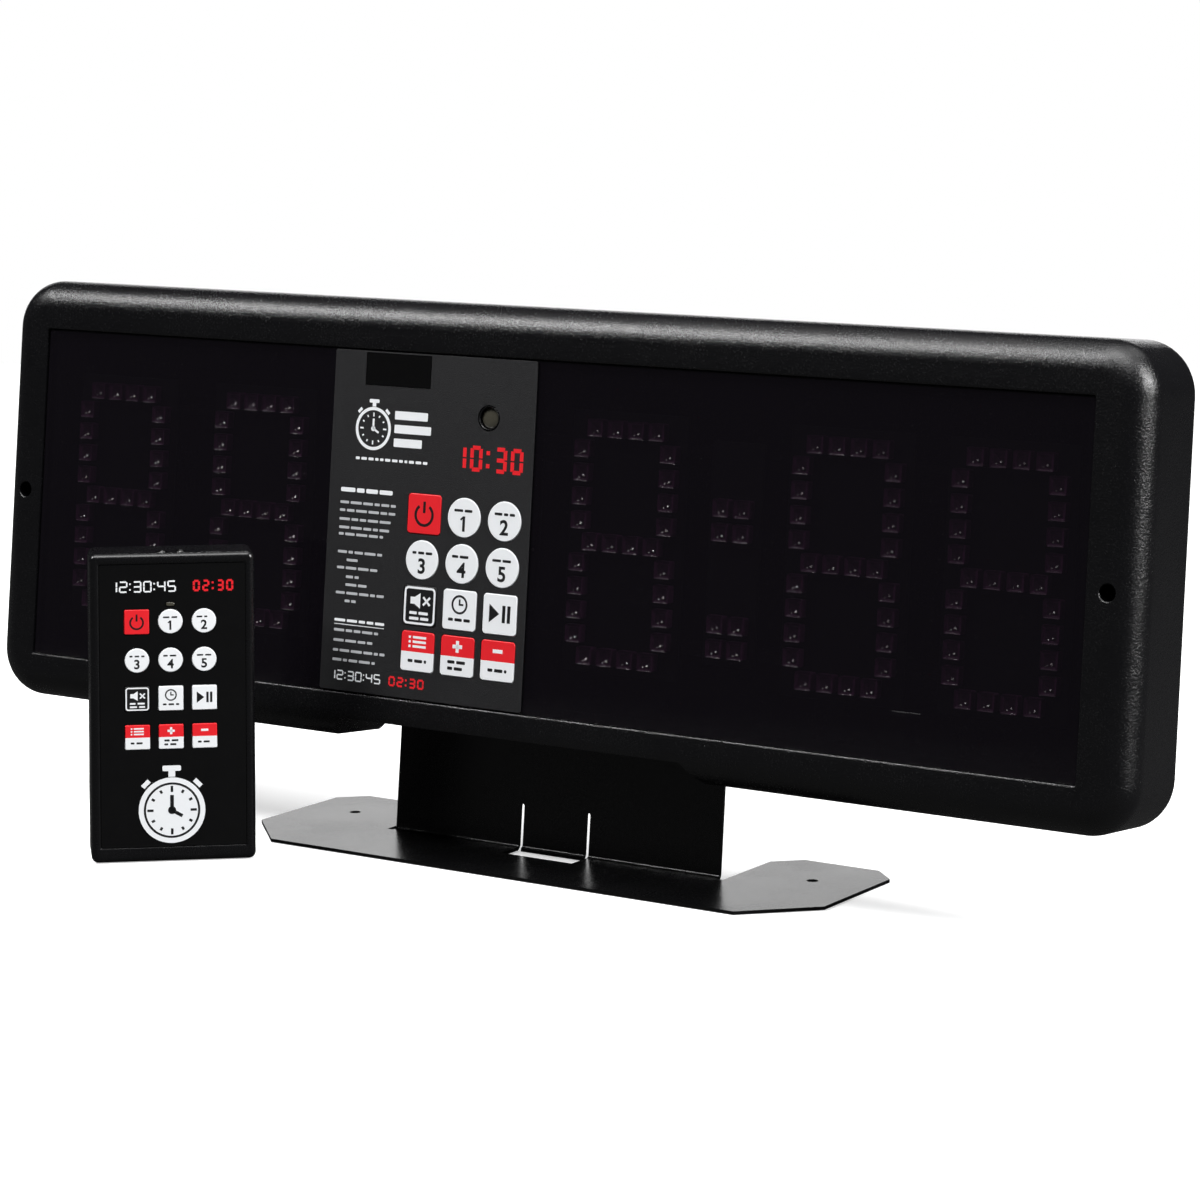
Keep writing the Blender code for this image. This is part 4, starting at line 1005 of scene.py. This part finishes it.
class TIMER_OT_window(TimerOperator, bpy.types.Operator):
    """Polished tinted window, open behind the keypad strip"""

    bl_idname = "timer.window"
    bl_label = "Display Window"

    def make(self, scene):
        display = scene.timer_display
        front, back = WINDOW_LOW.y, WINDOW_HIGH.y
        window = block("display_window", MM, 6)
        soften(window, rim_at(window, front), display.window_bevel, 1)
        for vertex in window.verts:
            if abs(vertex.co.y - front - display.window_bevel) < 0.02 * MM:
                vertex.co.y = front + display.bevel_depth
        left, right, bottom, top = window_opening()
        opening = plate(right - left, top - bottom, 0, ((left + right) / 2, (bottom + top) / 2))
        window = cut(window, deep(opening, front - PAST, back + PAST))
        stand_in("display_window", window, ["acrylic"])


def led_centres(node):
    """Where the CAD board's LEDs stand, as (across, up)."""
    points = points_of(node, HEAD)
    front = BOX_OF[node][0].y
    found = set()
    for face in NODES[node].data.polygons:
        corners = [points[i] for i in face.vertices]
        if max(corner.y for corner in corners) > front + 0.1 * MM:
            continue
        pairs = [(corners[i - 1], corners[i]) for i in range(len(corners))]
        first, second = max(pairs, key=lambda pair: (pair[0] - pair[1]).length)
        found.add((round((first.x + second.x) / 2, 5), round((first.z + second.z) / 2, 5)))
    return sorted(found)


def led_mesh(display, depth):
    """One LED body: a rim round a sunk cup, and two tilted contact pads near the cup's lower side."""
    width, cup_depth = display.led_width, display.led_cup
    body = deep(plate(width, width, 0.5 * MM, segments=1), 0, depth)
    front = [face for face in body.faces if face.normal.y < -0.9]
    bmesh.ops.inset_region(body, faces=front, thickness=display.led_rim, use_even_offset=True)
    cup = [face for face in body.faces if face.normal.y < -0.9 and face.calc_area() > (width / 2) ** 2]
    corners = {vertex for face in cup for vertex in face.verts}
    bmesh.ops.translate(body, verts=list(corners), vec=(0, cup_depth, 0))
    bmesh.ops.scale(body, verts=list(corners), vec=(0.86, 1, 0.86))
    for face in cup:
        face.material_index = 1
    pads = []
    for side in (-1, 1):
        pad = bmesh.new()
        bmesh.ops.create_cube(pad, size=(1.2 + 0.3 * side) * display.led_pad)
        moved(turned(pad, -32, "X"), side * MM, cup_depth, -display.led_pad_drop + side * 0.35 * MM)
        for face in pad.faces:
            face.material_index = 2
        pads.append(pad)
    return plain_mesh(merged(body, *pads), "led")


class TIMER_OT_digits(TimerOperator, bpy.types.Operator):
    """Five seven-segment digits and a colon, each a board of square LEDs"""

    bl_idname = "timer.digits"
    bl_label = "LED Digits"

    def make(self, scene):
        display = scene.timer_display
        for node in ("digit_1", "digit_2", "digit_3", "digit_4", "digit_5", "colon"):
            low, high = BOX_OF[node]
            board_front = high.y - display.board
            led = led_mesh(display, board_front - low.y - 0.05 * MM)
            board = block(node, front=board_front)
            soften(board, sharp_edges(board), 0.2 * MM, 1)
            for face in board.faces:
                face.material_index = 3
            for x, z in led_centres(node):
                move = Matrix.Translation((x, low.y, z))
                led.transform(move)
                board.from_mesh(led)
                led.transform(move.inverted())
            bpy.data.meshes.remove(led)
            stand_in(node, board, ["led", "cup", "pad", "black"])


def key_outline(name, width, corner, centre=(0.0, 0.0)):
    """A key's flat outline: the presets are round."""
    return disc(width / 2, centre) if name.startswith("preset") else plate(width, width, corner, centre)


def key_blank(name, node, sizes, corner):
    """A key: a cap with a soft front edge and a wider lip behind."""
    (low, high), centre = BOX_OF[node], middle(node)
    width, neck = high.x - low.x - 2 * sizes.lip, neck_of(node)
    cap = deep(key_outline(name, width, corner), low.y, neck + 0.3 * MM)
    soften(cap, rim_at(cap, low.y), sizes.edge)
    wide = key_outline(name, width + 2 * sizes.lip, corner + sizes.lip)
    return moved(joined(cap, deep(wide, neck, high.y)), centre.x, 0, centre.z)


def in_two_colours(shape, line):
    """Splits a shape at a height and gives the part above it the second material."""
    everything = shape.verts[:] + shape.edges[:] + shape.faces[:]
    plane = {"plane_co": (0, 0, line), "plane_no": (0, 0, 1)}
    bmesh.ops.bisect_plane(shape, geom=everything, dist=0.001 * MM, **plane)
    for face in shape.faces:
        if face.calc_center_median().z > line:
            face.material_index = 1


class TIMER_OT_keys(TimerOperator, bpy.types.Operator):
    """The keypad's twelve keys and the remote's twelve, in white, red and black, two of the rows in two colours"""

    bl_idname = "timer.keys"
    bl_label = "Keys"

    def make(self, scene):
        sizes, remote = scene.timer_keys, scene.timer_remote
        for name in KEYS:
            for node, corner in ((f"key_{name}", sizes.corner), (f"remote_key_{name}", remote.key_corner)):
                width, centre = size(node).x - 2 * sizes.lip, middle(node)
                blank = key_blank(name, node, sizes, corner)
                materials = [KEY_COLOUR.get(name, "white")]
                if name in TWO_TONE:
                    materials = ["white", "red"]
                    in_two_colours(blank, centre.z - 0.01 * width)
                stand_in(node, blank, materials)
                ink = Print()
                key_icon(ink, name, width / 2 / MM)
                layer = moved(ink.layer(BOX_OF[node][0].y, sizes.ink), centre.x, 0, centre.z)
                settle_print(node + "_print", layer, node, ["black", "white"])


def neck_of(node):
    """The depth at which a CAD key widens to its lip."""
    side = BOX_OF[node][1].x
    return min(point.y for point in points_of(node, PLACE_OF[node]) if point.x > side - 0.1 * MM)


def oval(node, margin):
    """A flat capsule in the outline of a wide, low node, grown by a margin."""
    centre, extents = middle(node), size(node)
    height = extents.z + 2 * margin
    return plate(extents.x + 2 * margin, height, 0.48 * height, (centre.x, centre.z), 8)


def key_holes(prefix, sizes, corner, front, back):
    """Cutters for the key holes, one for each key."""
    tools = []
    for name in KEYS:
        centre = middle(prefix + name)
        width = size(prefix + name).x - 2 * sizes.lip + 2 * sizes.clearance
        outline = key_outline(name, width, corner + sizes.clearance, (centre.x, centre.z))
        tools.append(deep(outline, front, back))
    return merged(*tools)


class TIMER_OT_strip(TimerOperator, bpy.types.Operator):
    """Keypad strip of printed film, with its receiver window, sensor lens and printed marks"""

    bl_idname = "timer.strip"
    bl_label = "Keypad Strip"

    def make(self, scene):
        sizes = scene.timer_keys
        front, back = STRIP_LOW.y, STRIP_HIGH.y
        strip = block("keypad_overlay", MM, 6)
        soften(strip, rim_at(strip, front), 0.15 * MM, 2)
        lens = middle("sensor_lens")
        radius = size("sensor_lens").x / 2
        through = (front - PAST, back + PAST)
        holes = merged(
            key_holes("key_", sizes, sizes.corner, *through),
            deep(disc(radius + sizes.clearance, (lens.x, lens.z)), *through),
            block("receiver_window", 0, 12, sizes.clearance, *through),
        )
        stand_in("keypad_overlay", cut(strip, holes), ["film"])

        window = block("receiver_window", 0.3 * MM, 3)
        soften(window, rim_at(window, BOX_OF["receiver_window"][0].y), 0.12 * MM, 2)
        stand_in("receiver_window", window, ["filter"])

        low, high = BOX_OF["sensor_lens"]
        inner, outer = radius - sizes.lens_rim, radius - sizes.lens_rim + 0.1 * MM
        bowl = [(across, low.y + sizes.lens_sink + depth) for across, depth in dome(inner, sizes.lens_dome, 10)]
        glass = spun([*bowl, (inner, high.y), (0, high.y)])
        profile = [
            (outer, high.y),
            (outer, low.y + 0.3 * MM),
            (outer + 0.25 * MM, low.y),
            (radius - 0.3 * MM, low.y),
            (radius, low.y + 0.4 * MM),
            (radius, high.y),
            (outer, high.y),
        ]
        collar = spun(profile)
        for face in collar.faces:
            face.material_index = 1
        stand_in("sensor_lens", moved(merged(glass, collar), lens.x, 0, lens.z), ["lens", "smooth"])

        layer = strip_print().layer(front, sizes.ink)
        settle_print("strip_print", layer, "keypad_overlay", ["white", "red", "grey"])


def strip_print():
    """The strip's marks: a stopwatch, red figures, blocks of made-up text, and figures under the keys."""
    ink = Print()
    left, top = STRIP_LOW.x / MM, STRIP_HIGH.z / MM
    stopwatch(ink, left + 22.2, top - 34.0, 8.8)
    for row, reach in enumerate((17.5, 19.5, 15)):
        ink.bar(left + 33.6 + reach / 2, top - 27.4 - 6.0 * row, reach, 3.7, 0, corner=0.4)
    ink.words(left + 13.6, top - 47.4, 38.5, 1.2, 0, 4, 3)
    ink.digits("10:30", left + 66, top - 43.5, 6.4, 11.2, 1.8, 1)
    ink.words(left + 6.4, top - 61.7, 28, 1.9, 0, 2, 9)
    paragraph = [(67.3, 0, 30), (70.8, 0, 30), (74.7, 0, 29), (78.4, 0, 29), (81.3, 0, 24)]
    listed = [(89.2, 0, 24), (92.7, 5, 13), (96.2, 0, 22), (100.1, 5, 12), (103.6, 5, 18), (107.3, 0, 26)]
    listed.append((110.8, 5, 11))
    table = [(123.8, 0, 24), (128.3, 0, 22), (132.7, 0, 28), (136.9, 0, 23)]
    for number, (drop, inset, total) in enumerate(paragraph + listed + table):
        ink.words(left + 6.4 + inset, top - drop, total - inset, 1.15, 2, 1.7 * number, 6)
    ink.words(left + 6.4, top - 119.4, 27, 1.2, 0, 5, 6)
    ink.bar(left + 19.9, top - 121.2, 27, 0.3, 0)
    ink.digits("12:30:45", left + 4.8, top - 143.6, 3.6, 4.4, 0.62, 0)
    ink.digits("02:30", left + 37.2, top - 143.6, 3.5, 4.4, 0.85, 1)
    return ink


class TIMER_OT_inside(TimerOperator, bpy.types.Operator):
    """Boards, buzzer and power inlet inside the case"""

    bl_idname = "timer.inside"
    bl_label = "Inside Pieces"

    def make(self, scene):
        for node in ("keypad_board", "main_board"):
            coat(node, "board")
        coat("buzzer", "smooth")
        stand_in("power_inlet", copied("power_inlet"), ["smooth"])


class TIMER_OT_dust_screens(TimerOperator, bpy.types.Operator):
    """Two pads of black foam behind the rear cover's vents"""

    bl_idname = "timer.dust_screens"
    bl_label = "Dust Screens"

    def make(self, scene):
        vents = scene.timer_vents
        for side, hand in ((-1, "left"), (1, "right")):
            centre = (side * (WINDOW_HIGH.x - vents.inset), vents.rise)
            front = COVER_FRONT - vents.pad_thickness
            pad = deep(plate(vents.pad_width, vents.pad_height, 2 * MM, centre, 4), front, COVER_FRONT + 0.05 * MM)
            soften(pad, rim_at(pad, front), 0.8 * MM)
            settle(f"dust_screen_{hand}", pad, HEAD, ["foam"], "timer")


class TIMER_OT_stand(TimerOperator, bpy.types.Operator):
    """Stand folded from one powder-coated steel sheet"""

    bl_idname = "timer.stand"
    bl_label = "Stand"

    def make(self, scene):
        stand_in("stand_bracket", copied("stand_bracket"), ["coat"], sharp=28)


def screw_shape(radius, head_radius, head_height, total):
    """A pan-head screw along the depth axis, its head's top at depth 0, with a thread and a cross recess."""
    thread = []
    depth, pitch = head_height + 0.8 * MM, 0.9 * MM
    while depth + pitch < total - radius:
        thread += [(radius * 0.82, depth), (radius, depth + pitch / 2)]
        depth += pitch
    profile = [
        (0, 0),
        (head_radius * 0.45, 0.02 * head_height),
        (head_radius * 0.78, 0.16 * head_height),
        (head_radius * 0.95, 0.42 * head_height),
        (head_radius, 0.7 * head_height),
        (head_radius, head_height),
        (radius * 0.9, head_height),
        (radius * 0.9, head_height + 0.6 * MM),
        *thread,
        (radius * 0.82, total - radius),
        (0, total),
    ]
    body = spun(profile, 40)
    for turn in (0, 90):
        bar = deep(plate(1.1 * head_radius, 0.26 * head_radius), -PAST, 0.62 * head_height)
        body = cut(body, turned(bar, turn))
    return body


class TIMER_OT_screws(TimerOperator, bpy.types.Operator):
    """Two screws in the bezel's wells and four behind the stand, with cross recesses and threads"""

    bl_idname = "timer.screws"
    bl_label = "Screws"

    def make(self, scene):
        for node in NODES:
            if "_screw_" not in node:
                continue
            low, high = BOX_OF[node]
            centre = middle(node)
            front_facing = node.startswith("case")
            head_radius = (high.x - low.x) / 2
            radius, head_height = (1.5 * MM, 2.2 * MM) if front_facing else (2 * MM, 2.6 * MM)
            body = screw_shape(radius, head_radius, head_height, high.y - low.y)
            if front_facing:
                moved(body, centre.x, low.y, centre.z)
            else:
                moved(turned(body, 180, "Z"), centre.x, high.y, centre.z)
            stand_in(node, body, ["steel"])


class TIMER_OT_remote_case(TimerOperator, bpy.types.Operator):
    """The remote's two moulded halves and its battery cover"""

    bl_idname = "timer.remote_case"
    bl_label = "Remote Case"

    def make(self, scene):
        self.front(scene.timer_remote, scene.timer_keys)
        self.back(scene.timer_remote)
        self.battery_cover(scene.timer_remote)

    def front(self, sizes, keys):
        high, far = BOX_OF["remote_front"][1], sizes.front_wall + PAST
        shell = block("remote_front", sizes.corner, 8, front=0)
        soften(shell, rim_at(shell, 0), sizes.rounding, 6)
        hollow = block(
            "remote_front", sizes.corner - sizes.wall / 2, 6, -sizes.wall, sizes.front_wall, high.y + PAST
        )
        tray_floor = BOX_OF["remote_face"][1].y + sizes.fit
        tray = block("remote_face", sizes.face_corner, 4, sizes.fit, -PAST, tray_floor)
        slope = flared("remote_face", sizes.face_corner, 4, sizes.fit, 0.5 * MM, sizes.flare)
        holes = key_holes("remote_key_", keys, sizes.key_corner, 0, far)
        spot = deep(oval("remote_indicator", sizes.fit), 0, far)
        shell = cut(shell, hollow, tray, slope, merged(holes, spot))
        for node in ("remote_emitter_left", "remote_emitter_right"):
            eye, radius = middle(node), size(node).x / 2 + sizes.fit
            bore = bmesh.new()
            round_bar = {"radius1": radius, "radius2": radius, "depth": 8 * MM}
            bmesh.ops.create_cone(bore, cap_ends=True, segments=32, **round_bar)
            shell = cut(shell, moved(bore, eye.x, eye.y, high.z - sizes.wall))
        stand_in("remote_front", shell, ["smooth"])

    def back(self, sizes):
        extents = size("remote_front")
        shape = copied("remote_back")

        def outside(point):
            across, rise = extents.x / 2 - abs(point.x), min(point.z, extents.z - point.z)
            return min(across, rise) < 2 * sizes.wall

        rim = rim_at(shape, BOX_OF["remote_back"][1].y)
        outer = [edge for edge in rim if all(outside(vertex.co) for vertex in edge.verts)]
        stand_in("remote_back", soften(shape, outer, sizes.back_rounding, 5), ["smooth"])

    def battery_cover(self, sizes):
        high, across = BOX_OF["battery_cover"][1], middle("battery_cover").x
        centres = [(across, high.z - (6 + 2.6 * row) * MM) for row in range(4)]
        grooves = [
            deep(plate(14 * MM, 1.1 * MM, 0.5 * MM, centre, 4), high.y - sizes.grip, high.y + PAST)
            for centre in centres
        ]
        stand_in("battery_cover", cut(copied("battery_cover"), merged(*grooves)), ["smooth"])


def remote_print():
    """The remote's marks: figures over the keys and a stopwatch under them."""
    row = middle("remote_key_power").z / MM + 15.4
    ink = Print()
    ink.digits("12:30:45", -27.4, row, 3.7, 5.0, 0.66, 0)
    ink.digits("02:30", 8.9, row, 3.1, 5.0, 0.9, 1)
    stopwatch(ink, -0.8, 22.6, 13.4, 0, 2)
    return ink


class TIMER_OT_remote_face(TimerOperator, bpy.types.Operator):
    """The remote's printed face plate"""

    bl_idname = "timer.remote_face"
    bl_label = "Remote Face"

    def make(self, scene):
        keys, remote = scene.timer_keys, scene.timer_remote
        front, back = (corner.y for corner in BOX_OF["remote_face"])
        through = (front - PAST, back + PAST)
        face = block("remote_face", remote.face_corner, 4)
        soften(face, rim_at(face, front), 0.12 * MM, 2)
        holes = key_holes("remote_key_", keys, remote.key_corner, *through)
        spot = deep(oval("remote_indicator", keys.clearance), *through)
        stand_in("remote_face", cut(face, merged(holes, spot)), ["face"])
        layer = remote_print().layer(front, keys.ink)
        settle_print("remote_print", layer, "remote_face", ["white", "red", "black"])


def upright(profile, segments, node):
    """A solid of revolution about a node's upright axis, from pairs of radius and depth below its top."""
    centre = middle(node)
    return moved(turned(spun(profile, segments), -90, "X"), centre.x, centre.y, BOX_OF[node][1].z)


class TIMER_OT_remote_inside(TimerOperator, bpy.types.Operator):
    """The remote's board, emitters, indicator and batteries"""

    bl_idname = "timer.remote_inside"
    bl_label = "Remote Inside"

    def make(self, scene):
        coat("remote_board", "board")
        for side in ("left", "right"):
            node = f"remote_emitter_{side}"
            radius, tall = size(node).x / 2, size(node).z
            bulb = [*dome(radius, scene.timer_remote.emitter_dome, 8), (radius, tall), (0, tall)]
            stand_in(node, upright(bulb, 32, node), ["filter"])
            node = f"battery_{side}"
            radius, tall = size(node).x / 2, size(node).z
            cell = [
                (0, 0),
                (0.28 * radius, 0),
                (0.28 * radius, 1.0 * MM),
                (0.86 * radius, 1.1 * MM),
                (radius, 1.6 * MM),
                (radius, tall - 0.4 * MM),
                (0.9 * radius, tall),
                (0, tall),
            ]
            stand_in(node, upright(cell, 40, node), ["jacket"])
        lamp = deep(oval("remote_indicator", 0), *(corner.y for corner in BOX_OF["remote_indicator"]))
        soften(lamp, rim_at(lamp, BOX_OF["remote_indicator"][0].y), 0.3 * MM)
        stand_in("remote_indicator", lamp, ["lens"])


# ---------------------------------------------------------------- studio

FLOOR_RADIUS = 2.3
FLOOR_GLOW = 0.42
SKY = 0.035

# Each light's azimuth and elevation in degrees, distance, width and height in metres, and power in watts
LIGHTS = {
    "key_light": (-50, 46, 3.0, 1.2, 0.42, 72),
    "side_light": (90, 26, 2.4, 0.26, 1.1, 74),
    "rim_light": (150, 56, 3.0, 0.8, 0.8, 9),
    "back_card": (-146, 8, 3.2, 2.4, 1.1, 14),
    "fill_light": (10, 70, 3.0, 2.2, 1.4, 75),
    "top_light": (0, 88, 3.4, 3.2, 3.2, 40),
}

# The lens in millimetres, its shift in parts of the frame, its place in metres, and its angles in degrees
LENS = 110.79
SHIFT = (0.0796, -0.2320)
CAMERA_PLACE = (0.86965, -1.31144, 0.37206)
CAMERA_DROP = 4.915
CAMERA_HEADING = 33.845


def soft_light(name, azimuth, elevation, distance, width, height, power):
    """A softbox that faces the timer, seen from it at an azimuth from the front, turning right, and an elevation."""
    turn, rise = math.radians(azimuth), math.radians(elevation)
    way = Vector((math.sin(turn) * math.cos(rise), -math.cos(turn) * math.cos(rise), math.sin(rise)))
    light = bpy.data.lights.new(name, "AREA")
    light.shape = "RECTANGLE"
    light.size, light.size_y = width, height
    light.energy = power
    holder = placed(name, light)
    holder.location = way * distance + Vector((0, 0, CAD_BOX[1][2] / 2))
    holder.rotation_euler = (-way).to_track_quat("-Z", "Y").to_euler()
    holder.visible_camera = False


class TIMER_OT_studio(TimerOperator, bpy.types.Operator):
    """Pale floor, soft lights and camera"""

    bl_idname = "timer.studio"
    bl_label = "Studio"

    def make(self, scene):
        self.floor(scene.timer_colours.floor)
        world = bpy.data.worlds.new("studio")
        scene.world = world
        sky = Finish("studio", world)
        seen = sky.node("ShaderNodeLightPath", output="Is Camera Ray")
        tone = sky.mix(seen, (SKY, SKY, SKY + 0.002, 1), (1, 1, 1, 1))
        sky.feed(sky.tree.nodes["Background"].inputs["Color"], tone)
        for name, numbers in LIGHTS.items():
            soft_light(name, *numbers)
        scene.camera = self.camera()
        scene.view_settings.view_transform = "Standard"

    def floor(self, pale):
        """A disc that lights the timer from below but shows the camera little more than its shadow."""
        shape = bmesh.new()
        bmesh.ops.create_circle(shape, cap_ends=True, radius=FLOOR_RADIUS, segments=96)
        floor = loose_object(shape, "studio_floor")
        surface = Finish("studio_floor")
        seen = surface.node("ShaderNodeLightPath", output="Is Camera Ray")
        tone = surface.mix(surface.noise(0.8, 2, 0.5), shade(pale, 0.985), shade(pale))
        tone = surface.mix(seen, shade(pale, 0.05), tone)
        glow = surface.mix(seen, (0, 0, 0, 1), (FLOOR_GLOW, FLOOR_GLOW, FLOOR_GLOW, 1))
        matt = {"Roughness": 0.9, "Specular_IOR_Level": 0.0}
        surface.surface(Base_Color=tone, Emission_Color=glow, Emission_Strength=1.0, **matt)
        floor.data.materials.append(surface.material)
        floor.location.z = CAD_BOX[0][2] - 0.3 * MM

    def camera(self):
        lens = bpy.data.cameras.new("camera")
        lens.sensor_width = 36
        lens.lens = LENS
        lens.shift_x, lens.shift_y = SHIFT
        lens.clip_end = 50
        holder = placed("camera", lens)
        holder.location = CAMERA_PLACE
        holder.rotation_euler = (math.radians(90 - CAMERA_DROP), 0, math.radians(CAMERA_HEADING))
        return holder


OPERATORS = [
    TIMER_OT_front_case,
    TIMER_OT_rear_cover,
    TIMER_OT_window,
    TIMER_OT_digits,
    TIMER_OT_strip,
    TIMER_OT_keys,
    TIMER_OT_inside,
    TIMER_OT_dust_screens,
    TIMER_OT_stand,
    TIMER_OT_screws,
    TIMER_OT_remote_case,
    TIMER_OT_remote_face,
    TIMER_OT_remote_inside,
    TIMER_OT_studio,
]


class TIMER_PT_panel(bpy.types.Panel):
    """The timer's pieces and its sizes, colours and finishes"""

    bl_idname = "TIMER_PT_panel"
    bl_label = "Gym Round Timer"
    bl_space_type = "VIEW_3D"
    bl_region_type = "UI"
    bl_category = "Round Timer"

    def draw(self, context):
        for operator in OPERATORS:
            self.layout.operator(operator.bl_idname)
        for name, group in GROUPS.items():
            box = self.layout.box()
            for setting in group.__annotations__:
                box.prop(getattr(context.scene, name), setting)


def register():
    for group in GROUPS.values():
        bpy.utils.register_class(group)
    for name, group in GROUPS.items():
        setattr(bpy.types.Scene, name, bpy.props.PointerProperty(type=group))
    for operator in OPERATORS:
        bpy.utils.register_class(operator)
    bpy.utils.register_class(TIMER_PT_panel)


def unregister():
    bpy.utils.unregister_class(TIMER_PT_panel)
    for operator in reversed(OPERATORS):
        bpy.utils.unregister_class(operator)
    for name in GROUPS:
        delattr(bpy.types.Scene, name)
    for group in reversed(list(GROUPS.values())):
        bpy.utils.unregister_class(group)


def main():
    register()
    make_materials(bpy.context.scene)
    for operator in OPERATORS:
        getattr(bpy.ops.timer, operator.bl_idname.split(".")[1])()


if __name__ == "__main__":
    main()
